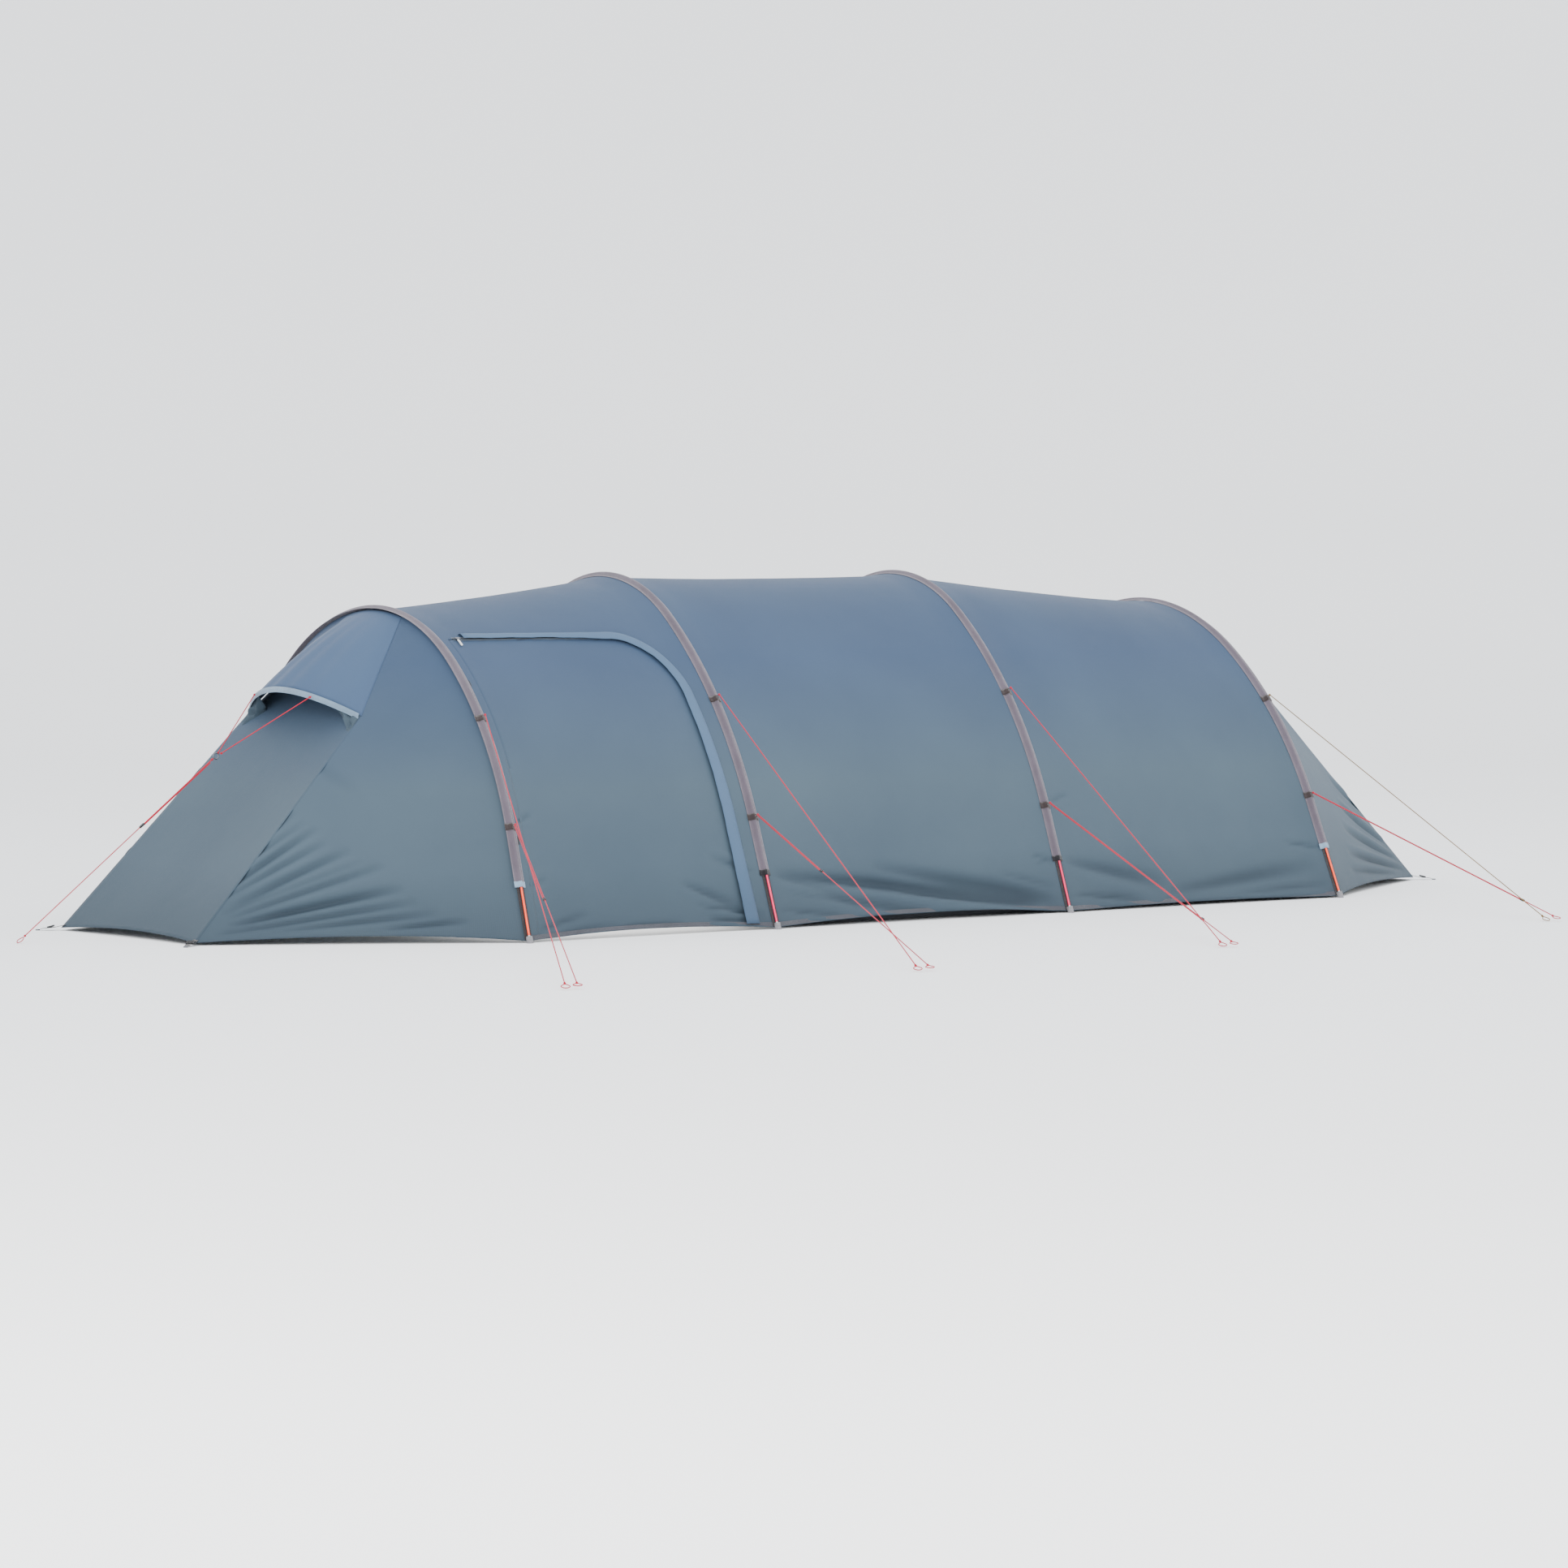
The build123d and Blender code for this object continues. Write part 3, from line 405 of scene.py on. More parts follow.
def plain(name, bm, material, body="tent", nodes=()):
    """A piece that isn't a sheet, from a bmesh."""
    piece = put(name, to_mesh(bm, name), material)
    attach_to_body(piece, body)
    if nodes:
        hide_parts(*nodes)
    return piece


def add_tube(bm, points, radius, closed=False, sides=8):
    """A round tube along points, added to bm."""
    count = len(points)
    rings = []
    normal = None
    for i, p in enumerate(points):
        if closed:
            way = points[(i + 1) % count] - points[i - 1]
        else:
            way = points[min(i + 1, count - 1)] - points[max(i - 1, 0)]
        way = way.normalized()
        if normal is None:
            normal = way.orthogonal().normalized()
        normal = (normal - way * normal.dot(way)).normalized()
        across = way.cross(normal)
        ring = []
        for k in range(sides):
            a = 2 * pi * k / sides
            ring.append(bm.verts.new(p + normal * radius * cos(a) + across * radius * sin(a)))
        rings.append(ring)
    last = count if closed else count - 1
    for i in range(last):
        a, b = rings[i], rings[(i + 1) % count]
        shift = 0
        if closed and i == count - 1:
            gaps = [(b[k].co - a[0].co).length for k in range(sides)]
            shift = gaps.index(min(gaps))
        for k in range(sides):
            m, n = (k + shift) % sides, (k + 1 + shift) % sides
            face = bm.faces.new([a[k], a[(k + 1) % sides], b[n], b[m]])
            face.smooth = True
    if not closed:
        bm.faces.new(rings[0][::-1])
        bm.faces.new(rings[-1])


def add_strip(bm, rows, wall, inside):
    """A strip with a wall of its own, added to bm."""
    uv = bm.loops.layers.uv.get("UVMap") or bm.loops.layers.uv.new("UVMap")
    width = len(rows[0])
    normals = []
    for i, row in enumerate(rows):
        line = []
        for j, p in enumerate(row):
            down = rows[min(i + 1, len(rows) - 1)][j] - rows[max(i - 1, 0)][j]
            side = row[min(j + 1, width - 1)] - row[max(j - 1, 0)]
            n = down.cross(side).normalized()
            line.append(n if n.dot(p - inside) > 0 else -n)
        normals.append(line)
    top = [[bm.verts.new(p + n * wall) for p, n in zip(r, m)] for r, m in zip(rows, normals)]
    low = [[bm.verts.new(p) for p in row] for row in rows]
    vs, us = [0.0], [0.0]
    for a, b in zip(rows, rows[1:]):
        vs.append(vs[-1] + (b[0] - a[0]).length)
    for a, b in zip(rows[0], rows[0][1:]):
        us.append(us[-1] + (b - a).length)
    made = []

    def face(corners, places):
        f = bm.faces.new(corners)
        for loop, (i, j) in zip(f.loops, places):
            loop[uv].uv = (us[j], vs[i])
        made.append(f)

    for i in range(len(rows) - 1):
        for j in range(width - 1):
            q = [(i, j), (i, j + 1), (i + 1, j + 1), (i + 1, j)]
            face([top[a][b] for a, b in q], q)
            face([low[a][b] for a, b in q[::-1]], q[::-1])
        for j, turn in ((0, 1), (width - 1, -1)):
            q = [top[i][j], top[i + 1][j], low[i + 1][j], low[i][j]][::turn]
            places = [(i, j), (i + 1, j), (i + 1, j), (i, j)][::turn]
            face(q, places)
    for i, turn in ((0, -1), (len(rows) - 1, 1)):
        for j in range(width - 1):
            q = [top[i][j], top[i][j + 1], low[i][j + 1], low[i][j]][::turn]
            places = [(i, j), (i, j + 1), (i, j + 1), (i, j)][::turn]
            face(q, places)
    bmesh.ops.recalc_face_normals(bm, faces=made)


# The shape of the arches, the bays and the two ends


class Arch:
    """A pole's five tangent runs: leg, side arc, crown arc, side arc, leg."""

    def __init__(self, x, height, lean):
        self.x, self.lean = x, lean
        reach = HALF_WIDTH - LEG_LENGTH * sin(LEG_SPLAY)
        rise = height - LEG_LENGTH * cos(LEG_SPLAY)
        full = LEG_SPLAY + SIDE_TURN
        crown_reach, side_reach = cos(full), cos(LEG_SPLAY) - cos(full)
        crown_rise, side_rise = 1 - sin(full), sin(full) - sin(LEG_SPLAY)
        scale = crown_reach * side_rise - side_reach * crown_rise
        crown = (reach * side_rise - side_reach * rise) / scale
        side = (crown_reach * rise - reach * crown_rise) / scale
        y, z, heading, start = -HALF_WIDTH, 0.0, pi / 2 - LEG_SPLAY, 0.0
        plan = (
            (LEG_LENGTH, None),
            (side * SIDE_TURN, side),
            (crown * (pi - 2 * full), crown),
            (side * SIDE_TURN, side),
            (LEG_LENGTH, None),
        )
        self.runs, self.breaks = [], [0.0]
        for length, radius in plan:
            self.runs.append((start, radius, y, z, heading))
            y, z, heading = self.walk(length, radius, y, z, heading)
            start += length
            self.breaks.append(start)
        self.length = start

    @staticmethod
    def walk(step, radius, y, z, heading):
        if radius is None:
            return y + step * cos(heading), z + step * sin(heading), heading
        after = heading - step / radius
        y += radius * (sin(heading) - sin(after))
        z += radius * (cos(after) - cos(heading))
        return y, z, after

    def at(self, s, offset=0.0, along=0.0):
        run = self.runs[0]
        for candidate in self.runs:
            if s >= candidate[0] - 1e-9:
                run = candidate
        start, radius, y, z, heading = run
        y, z, heading = self.walk(s - start, radius, y, z, heading)
        y, z = y - offset * sin(heading), z + offset * cos(heading)
        return Vector((
            self.x + z * sin(self.lean) + along * cos(self.lean),
            y,
            z * cos(self.lean) - along * sin(self.lean),
        ))

    def outward(self, s):
        return (self.at(s, 0.001) - self.at(s)).normalized()

    def hem(self):
        return HEM_HEIGHT / (cos(LEG_SPLAY) * cos(self.lean))

    def station(self, share, foot):
        """The length along the arch at a share of the way over it, from foot to foot."""
        for i in range(5):
            low, high = RUN_SHARES[i], RUN_SHARES[i + 1]
            if share <= high or i == 4:
                start = foot if i == 0 else self.breaks[i]
                end = self.length - foot if i == 4 else self.breaks[i + 1]
                return start + (end - start) * (share - low) / (high - low)

    def share(self, s):
        """The share of the way over the arch at a length along it."""
        foot = self.hem()
        s = min(max(s, foot), self.length - foot)
        for i in range(5):
            start = foot if i == 0 else self.breaks[i]
            end = self.length - foot if i == 4 else self.breaks[i + 1]
            if s <= end or i == 4:
                low, high = RUN_SHARES[i], RUN_SHARES[i + 1]
                return low + (high - low) * (s - start) / (end - start)

    def crown_station(self, half_width):
        low, high = 0.0, self.length / 2
        for _ in range(40):
            middle = (low + high) / 2
            if -self.at(middle, -FLY_DROP).y > half_width:
                low = middle
            else:
                high = middle
        return low


ARCHES = [Arch(*sizes) for sizes in zip(FEET, HEIGHTS, LEANS)]


class Bay:
    """The fly's cloth between two arches."""

    def __init__(self, front, rear, rise):
        self.front, self.rear, self.rise = front, rear, rise
        self.span = rear.x - front.x
        self.inside = Vector(((front.x + rear.x) / 2, 0, 0.3))

    def drop(self, u, t):
        """How far the cloth lies under the poles' centre lines."""
        edge = min(t, 1 - t) * self.span
        level = EDGE_DROP + (FLY_DROP - EDGE_DROP) * smooth(edge / SETTLE_WIDTH)
        crown = 0.2 + 0.8 * smooth((min(u, 1 - u) - 0.26) / 0.2)
        return level + bpy.context.scene.tent_cloth.sag * crown * 4 * t * (1 - t)

    def point(self, u, t, lift=0.0):
        arc = self.rise * 4 * t * (1 - t)
        offset = lift - self.drop(u, t)
        a = self.front.at(self.front.station(u, self.front.hem() + arc), offset, SEAM)
        b = self.rear.at(self.rear.station(u, self.rear.hem() + arc), offset, -SEAM)
        return a.lerp(b, t)

    def rows(self, along, over):
        return [[self.point(u, t) for t in steps(along)] for u in steps(over)]

    def find(self, x, z, lift=0.0):
        """The point of the near wall at this X and Z, and the shares that give it."""
        u, t = 0.2, (x - self.front.x) / self.span
        for _ in range(5):
            low, high = -0.02, 0.5
            for _ in range(16):
                u = (low + high) / 2
                low, high = (u, high) if self.point(u, t).z < z else (low, u)
            a, b = self.point(u, 0), self.point(u, 1)
            t = (x - a.x) / (b.x - a.x)
        return self.point(u, t, lift)


BAYS = [
    Bay(ARCHES[0], ARCHES[1], 0.028),
    Bay(ARCHES[1], ARCHES[2], 0.032),
    Bay(ARCHES[2], ARCHES[3], 0.014),
]


class End:
    """A closed end of the tunnel, with side -1 for the nose and 1 for the tail."""

    def __init__(self, arch, side):
        self.arch, self.side = arch, side
        self.top = arch.crown_station(CROWN_HALF)
        self.inside = Vector((arch.x + side * 0.2, 0, 0.3))

    def out(self, distance, y, z):
        return Vector((self.arch.x + self.side * distance, y, z))

    def edge(self, s):
        return self.arch.at(s, -END_DROP, self.side * SEAM)

    def crease(self, hand, share):
        foot = self.out(NOSE_LENGTH, hand * CORNER_HALF, HEM_HEIGHT)
        knee = self.out(KNEE_BACK, hand * KNEE_HALF, KNEE_HEIGHT)
        tip = self.edge(self.top)
        tip = Vector((tip.x, hand * abs(tip.y), tip.z))

        def straight(v):
            v = min(max(v, 0.0), 1.0)
            if v < KNEE_SHARE:
                return foot.lerp(knee, v / KNEE_SHARE)
            return knee.lerp(tip, (v - KNEE_SHARE) / (1 - KNEE_SHARE))

        if not KNEE_ROUND < share < 1 - KNEE_ROUND:
            return straight(share)
        beside = straight(share - KNEE_ROUND) + straight(share + KNEE_ROUND)
        return straight(share) * 0.5 + beside * 0.25

    def side_point(self, hand, share, across):
        """A side panel's point, from hem to crown and from the arch out to the crease."""
        share += (1 - share) * SIDE_RISE * 4 * across * (1 - across)
        hem = self.arch.hem()
        a = self.edge(hem + share * (self.top - hem))
        a = Vector((a.x, hand * abs(a.y), a.z))
        flat = a.lerp(self.crease(hand, share), across)
        sag = SIDE_SAG * sin(pi * min(max(share, 0), 1)) * 4 * across * (1 - across)
        return flat - Vector((self.side * 0.45, hand * 0.75, 0.45)) * sag

    def side_rows(self, hand, up, over):
        return [[self.side_point(hand, v, a) for a in steps(over)] for v in steps(up)]

    def front_point(self, c, share):
        """The end panel's point, c from -1 to 1 across and share from hem to knee."""
        share += (1 - share) * FRONT_RISE * (1 - c * c)
        near, far = (self.crease(hand, share * KNEE_SHARE) for hand in (-1, 1))
        flat = near.lerp(far, (c + 1) / 2)
        sag = FRONT_SAG * sin(pi * min(max(share, 0), 1)) * (1 - c * c)
        return flat - Vector((self.side * 0.7, 0, 0.7)) * sag

    def crown(self, c, half, drop=0.0):
        y = abs(c) * half
        s = self.arch.crown_station(y) if y > 1e-4 else self.arch.length / 2
        p = self.arch.at(s, -END_DROP - drop, self.side * SEAM)
        return Vector((p.x, c * half, p.z))

    def hood_edge(self, c):
        out = HOOD_REACH + (KNEE_BACK - HOOD_REACH) * c * c
        z = HOOD_HEIGHT + (KNEE_HEIGHT + HOOD_CORNER_LIFT - HOOD_HEIGHT) * c * c
        return self.out(out, c * KNEE_HALF, z)


NOSE = End(ARCHES[0], -1)
TAIL = End(ARCHES[3], 1)


# Finishes


class Finish:
    """A node material, with short ways to add and join nodes."""

    def __init__(self, name, rough=0.6, metal=0.0, sheen=0.0, specular=0.5):
        self.material = bpy.data.materials.new(name)
        self.material.use_nodes = True
        self.tree = self.material.node_tree
        self.tree.nodes.clear()
        self.shader = self.add("ShaderNodeBsdfPrincipled")
        self.shader.inputs["Roughness"].default_value = rough
        self.shader.inputs["Metallic"].default_value = metal
        self.shader.inputs["Sheen Weight"].default_value = sheen
        self.shader.inputs["Sheen Roughness"].default_value = 0.4
        self.shader.inputs["Specular IOR Level"].default_value = specular
        out = self.add("ShaderNodeOutputMaterial")
        self.join(self.shader, "BSDF", out, "Surface")
        self.place = self.add("ShaderNodeTexCoord")

    def add(self, kind, **values):
        node = self.tree.nodes.new(kind)
        for key, value in values.items():
            if hasattr(node, key):
                setattr(node, key, value)
            else:
                node.inputs[key.replace("_", " ")].default_value = value
        return node

    def join(self, a, out, b, into):
        self.tree.links.new(a.outputs[out], b.inputs[into])

    def math(self, operation, a, b=0.0):
        node = self.add("ShaderNodeMath", operation=operation)
        for i, value in enumerate((a, b)):
            if isinstance(value, (int, float)):
                node.inputs[i].default_value = value
            else:
                self.tree.links.new(value, node.inputs[i])
        return node.outputs[0]

    def cloudy(self, scale, detail=3.0, rough=0.5):
        node = self.add("ShaderNodeTexNoise", Scale=scale, Detail=detail, Roughness=rough)
        self.join(self.place, "Object", node, "Vector")
        return node.outputs["Fac"]

    def ramp(self, value, stops):
        node = self.add("ShaderNodeValToRGB")
        elements = node.color_ramp.elements
        while len(elements) < len(stops):
            elements.new(0.5)
        for element, (position, colour) in zip(elements, stops):
            element.position = position
            element.color = (*colour, 1.0)
        self.tree.links.new(value, node.inputs["Fac"])
        return node.outputs["Color"]

    def mix(self, share, a, b, blend="MIX"):
        node = self.add("ShaderNodeMix", data_type="RGBA", blend_type=blend)
        for socket, value in ((node.inputs[0], share), (node.inputs[6], a), (node.inputs[7], b)):
            if isinstance(value, tuple):
                socket.default_value = (*value, 1.0)
            elif isinstance(value, (int, float)):
                socket.default_value = value
            else:
                self.tree.links.new(value, socket)
        return node.outputs[2]

    def colour(self, value):
        socket = self.shader.inputs["Base Color"]
        if isinstance(value, tuple):
            socket.default_value = (*value, 1.0)
        else:
            self.tree.links.new(value, socket)

    def bump(self, height, strength, distance):
        node = self.add("ShaderNodeBump", Strength=strength, Distance=distance)
        self.tree.links.new(height, node.inputs["Height"])
        before = self.shader.inputs["Normal"]
        if before.is_linked:
            self.tree.links.new(before.links[0].from_socket, node.inputs["Normal"])
        self.tree.links.new(node.outputs["Normal"], before)

    def weave(self, pitch, source="UV"):
        """Over and under threads of this pitch."""
        split = self.add("ShaderNodeSeparateXYZ")
        self.join(self.place, source, split, "Vector")
        waves = []
        for axis in (0, 1):
            turned = self.math("MULTIPLY", split.outputs[axis], 2 * pi / pitch)
            waves.append(self.math("SINE", turned))
        return self.math("MULTIPLY", waves[0], waves[1])

    def ripstop(self, pitch, width):
        """A square grid of thicker threads."""
        split = self.add("ShaderNodeSeparateXYZ")
        self.join(self.place, "UV", split, "Vector")
        lines = []
        for axis in (0, 1):
            part = self.math("FRACT", self.math("DIVIDE", split.outputs[axis], pitch))
            lines.append(self.math("LESS_THAN", part, width))
        return self.math("MAXIMUM", lines[0], lines[1])


def shade(colour, factor):
    return tuple(min(c * factor, 1.0) for c in colour)


def ripstop_cloth(name, colour, low=None):
    """Coated ripstop cloth: fine weave, square grid, soft colour changes, painted shade towards the
    ground, a painted reflection of the sky towards the ridge, painted shade and highlight along
    creases, and crinkles.
    """
    f = Finish(name, rough=0.66, sheen=0.04, specular=0.22)
    low = low or colour
    split = f.add("ShaderNodeSeparateXYZ")
    f.join(f.place, "Object", split, "Vector")
    # Painted shade darkens the cloth towards the ground, and a painted reflection of the sky turns
    # it bluer towards the ridge.
    height = f.math("DIVIDE", split.outputs[2], RIDGE_HEIGHT)
    tint = f.ramp(height, [
        (0.01, shade(low, 0.64)), (0.2, shade(low, 0.9)), (0.42, low), (0.78, colour),
    ])
    patches = f.ramp(f.cloudy(1.6, 4.0), [(0.3, (0.90, 0.91, 0.93)), (0.7, (1.06, 1.06, 1.05))])
    tint = f.mix(1.0, tint, patches, "MULTIPLY")
    grid_lines = f.ripstop(RIPSTOP_PITCH, 0.09)
    tint = f.mix(f.math("MULTIPLY", grid_lines, 0.22), tint, shade(colour, 1.5))
    # Painted shade darkens the creases' hollows and a painted highlight lightens their ridges.
    fold = f.add("ShaderNodeAttribute", attribute_name="fold")
    depth = f.math("ADD", f.math("MULTIPLY", fold.outputs["Fac"], 28.0), 0.6)
    crease_shade_and_highlight = f.ramp(depth, [
        (0.1, (0.50, 0.55, 0.58)), (0.6, (1.0, 1.0, 1.0)), (0.95, (1.14, 1.14, 1.14)),
    ])
    f.colour(f.mix(1.0, tint, crease_shade_and_highlight, "MULTIPLY"))
    f.bump(f.cloudy(34.0, 5.0, 0.6), 0.22, 0.0025)
    f.bump(f.cloudy(6.5, 3.0), 0.25, 0.006)
    f.bump(f.math("ADD", f.weave(THREAD_PITCH), grid_lines), 0.25, 0.0002)
    return f.material


def woven(name, colour, pitch, rough=0.8, sheen=0.3, depth=0.0006, fleck=0.75):
    """Webbing or plain woven cloth with threads of this pitch."""
    f = Finish(name, rough=rough, sheen=sheen, specular=0.25)
    threads = f.weave(pitch)
    tint = f.mix(f.math("MULTIPLY_ADD", threads, 0.5), shade(colour, fleck), colour)
    soil = f.ramp(f.cloudy(9.0, 4.0), [(0.3, (0.86, 0.86, 0.86)), (0.7, (1.08, 1.08, 1.08))])
    f.colour(f.mix(1.0, tint, soil, "MULTIPLY"))
    f.bump(threads, 0.6, depth)
    return f.material


def moulded(name, colour, rough=0.45):
    """Moulded plastic with a fine grain and rubbed patches."""
    f = Finish(name, rough=rough)
    f.colour(f.ramp(f.cloudy(160.0, 4.0), [(0.35, shade(colour, 0.8)), (0.7, shade(colour, 1.2))]))
    f.bump(f.cloudy(900.0, 2.0), 0.25, 0.0002)
    return f.material


def anodised(name, colour, rough=0.3):
    """Anodised tube: drawn lines along it, light wear."""
    f = Finish(name, rough=rough, metal=0.55, specular=0.6)
    worn = f.ramp(f.cloudy(26.0, 5.0), [(0.35, shade(colour, 0.86)), (0.72, shade(colour, 1.1))])
    f.colour(worn)
    f.bump(f.cloudy(400.0, 2.0), 0.12, 0.0002)
    return f.material


def metal(name, colour, rough=0.3):
    f = Finish(name, rough=rough, metal=1.0)
    f.colour(f.ramp(f.cloudy(80.0, 4.0), [(0.3, shade(colour, 0.8)), (0.75, colour)]))
    f.bump(f.cloudy(500.0, 2.0), 0.15, 0.0002)
    return f.material


def braided(name, colour, fleck):
    """Braided cord with lighter flecks."""
    f = Finish(name, rough=0.7, sheen=0.08, specular=0.3)
    spots = f.cloudy(420.0, 3.0, 0.6)
    f.colour(f.ramp(spots, [(0.42, colour), (0.62, fleck)]))
    f.bump(spots, 0.5, 0.0006)
    return f.material


FINISHES = {}


def finish(name):
    """The material of this name, made on first use."""
    look = bpy.context.scene.tent_cloth
    fly, fly_low, sleeve = tuple(look.fly), tuple(look.fly_low), tuple(look.sleeve)
    cord = tuple(bpy.context.scene.tent_cords.colour)
    makers = {
        "fly": lambda: ripstop_cloth("fly_ripstop", fly, fly_low),
        "hood": lambda: ripstop_cloth("hood_ripstop", shade(fly, 1.3)),
        # The gusset is the fly's lower colour darkened, as painted shade under the hood.
        "gusset": lambda: ripstop_cloth("gusset_ripstop", shade(fly_low, 0.8)),
        "sleeve": lambda: woven("sleeve_weave", sleeve, 0.0012, 0.75),
        "flap": lambda: ripstop_cloth("flap_cloth", srgb(72, 94, 118)),
        "strip": lambda: woven("pale_strip", srgb(124, 148, 170), 0.001, 0.6),
        "cuff_pale": lambda: woven("cuff_pale", srgb(140, 166, 190), 0.0015),
        "cuff_dark": lambda: woven("cuff_dark", srgb(34, 32, 36), 0.0015),
        "band": lambda: woven("band_webbing", srgb(62, 52, 52), 0.0022, 0.85, 0.4, 0.0008),
        "strap": lambda: woven("dark_webbing", srgb(42, 37, 39), 0.0022, 0.85, 0.4, 0.0008),
        "hem": lambda: woven("hem_tape", srgb(70, 72, 80), 0.0015),
        "zip_tape": lambda: woven("zip_tape", srgb(70, 84, 100), 0.001),
        "teeth": lambda: moulded("zip_teeth", srgb(34, 36, 40), 0.4),
        "white": lambda: woven("white_webbing", srgb(232, 232, 228), 0.0016, 0.8, 0.2),
        "net": lambda: woven("insect_net", srgb(20, 20, 22), 0.0016, 0.9, 0.1, 0.001, 0.3),
        "cord": lambda: braided("guy_cord", cord, srgb(176, 40, 66)),
        "cord_gold": lambda: braided("guy_cord_gold", srgb(104, 74, 34), srgb(140, 108, 62)),
        "thread": lambda: woven("sewing_thread", srgb(206, 200, 206), 0.0008),
        "inner": lambda: woven("inner_cloth", srgb(226, 208, 166), 0.0009, 0.7, 0.3, 0.0003, 0.9),
        "floor_cloth": lambda: woven("tub_cloth", srgb(58, 62, 68), 0.0012, 0.5, 0.1, 0.0003),
        "elastic": lambda: woven("elastic", srgb(40, 40, 44), 0.001),
        "pole_orange": lambda: anodised("pole_orange", srgb(255, 84, 48)),
        "pole_red": lambda: anodised("pole_red", srgb(226, 44, 92)),
        "aluminium": lambda: metal("bare_aluminium", srgb(205, 206, 210)),
        "steel": lambda: metal("zip_metal", srgb(120, 122, 128), 0.35),
        "cup": lambda: moulded("cup_plastic", srgb(120, 118, 122), 0.55),
        "plastic": lambda: moulded("buckle_plastic", srgb(28, 28, 30)),
        "shock": lambda: braided("shock_cord", srgb(30, 30, 32), srgb(90, 90, 92)),
    }
    if name not in FINISHES:
        FINISHES[name] = makers[name]()
    return FINISHES[name]


def dress(node, finish_name):
    """Gives a frame node that stays in view its finish."""
    mesh = NODES[node].data
    if not mesh.materials:
        mesh.materials.append(finish(finish_name))
    for i in range(len(mesh.materials)):
        mesh.materials[i] = finish(finish_name)


# Repeats along a path, made with Geometry Nodes


def repeat_tree():
    """A node tree that lays small rounded items along a curve."""
    name = "Items along a path"
    if name in bpy.data.node_groups:
        return bpy.data.node_groups[name]
    tree = bpy.data.node_groups.new(name, "GeometryNodeTree")
    face = tree.interface
    face.new_socket("Geometry", in_out="INPUT", socket_type="NodeSocketGeometry")
    for label, default in (("Spacing", 0.005), ("Length", 0.003), ("Width", 0.001)):
        socket = face.new_socket(label, in_out="INPUT", socket_type="NodeSocketFloat")
        socket.default_value = default
    face.new_socket("Finish", in_out="INPUT", socket_type="NodeSocketMaterial")
    face.new_socket("Geometry", in_out="OUTPUT", socket_type="NodeSocketGeometry")
    new, link = tree.nodes.new, tree.links.new
    start, end = new("NodeGroupInput"), new("NodeGroupOutput")
    points = new("GeometryNodeCurveToPoints")
    points.mode = "LENGTH"
    link(start.outputs["Geometry"], points.inputs["Curve"])
    link(start.outputs["Spacing"], points.inputs["Length"])
    turn = new("FunctionNodeAlignRotationToVector")
    turn.axis = "X"
    link(points.outputs["Tangent"], turn.inputs["Vector"])
    ball = new("GeometryNodeMeshUVSphere")
    ball.inputs["Segments"].default_value = 6
    ball.inputs["Rings"].default_value = 4
    ball.inputs["Radius"].default_value = 0.5
    size = new("ShaderNodeCombineXYZ")
    link(start.outputs["Length"], size.inputs[0])
    link(start.outputs["Width"], size.inputs[1])
    link(start.outputs["Width"], size.inputs[2])
    items = new("GeometryNodeInstanceOnPoints")
    link(points.outputs["Points"], items.inputs["Points"])
    link(ball.outputs["Mesh"], items.inputs["Instance"])
    link(turn.outputs["Rotation"], items.inputs["Rotation"])
    link(size.outputs[0], items.inputs["Scale"])
    real = new("GeometryNodeRealizeInstances")
    link(items.outputs["Instances"], real.inputs["Geometry"])
    paint = new("GeometryNodeSetMaterial")
    link(real.outputs["Geometry"], paint.inputs["Geometry"])
    link(start.outputs["Finish"], paint.inputs["Material"])
    link(paint.outputs["Geometry"], end.inputs["Geometry"])
    return tree


def items_along(name, paths, spacing, length, width, material, body="tent"):
    """Small items along paths of points, as one plain mesh."""
    curve = bpy.data.curves.new(name, "CURVE")
    curve.dimensions = "3D"
    for path in paths:
        spline = curve.splines.new("POLY")
        spline.points.add(len(path) - 1)
        for point, place in zip(spline.points, path):
            point.co = (*place, 1.0)
    source = put(name + "_path", curve)
    modifier = source.modifiers.new("items", "NODES")
    tree = repeat_tree()
    modifier.node_group = tree
    values = {"Spacing": spacing, "Length": length, "Width": width, "Finish": material}
    for item in tree.interface.items_tree:
        if item.in_out == "INPUT" and item.name in values:
            modifier[item.identifier] = values[item.name]
    depsgraph = bpy.context.evaluated_depsgraph_get()
    mesh = bpy.data.meshes.new_from_object(source.evaluated_get(depsgraph))
    bpy.data.objects.remove(source)
    for polygon in mesh.polygons:
        polygon.use_smooth = True
    piece = put(name, mesh)
    attach(piece, body)
    return piece


# Sizes and colours that a user may change


class TentClothSettings(bpy.types.PropertyGroup):
    """Sizes and colours of the cloth."""

    # The upper colour is bluer than the lower one: a painted reflection of the sky near the ridge.
    fly: bpy.props.FloatVectorProperty(
        name="Fly, upper", description="Colour of the fly near the ridge", subtype="COLOR",
        size=3, min=0, max=1, default=srgb(55, 72, 95))
    fly_low: bpy.props.FloatVectorProperty(
        name="Fly, lower", description="Colour of the fly near the ground", subtype="COLOR",
        size=3, min=0, max=1, default=srgb(66, 81, 92))
    sleeve: bpy.props.FloatVectorProperty(
        name="Sleeves", description="Colour of the pole sleeves", subtype="COLOR",
        size=3, min=0, max=1, default=srgb(106, 97, 108))
    wall: bpy.props.FloatProperty(
        name="Cloth", description="Thickness of the cloth", default=0.001, min=0.0003,
        max=0.003, unit="LENGTH")
    crease: bpy.props.FloatProperty(
        name="Creases", description="How deep the creases in the cloth are", default=2.5,
        min=0, max=4, subtype="FACTOR")
    sag: bpy.props.FloatProperty(
        name="Sag", description="How far the ridge sags between two arches", default=0.011,
        min=0, max=0.05, unit="LENGTH")


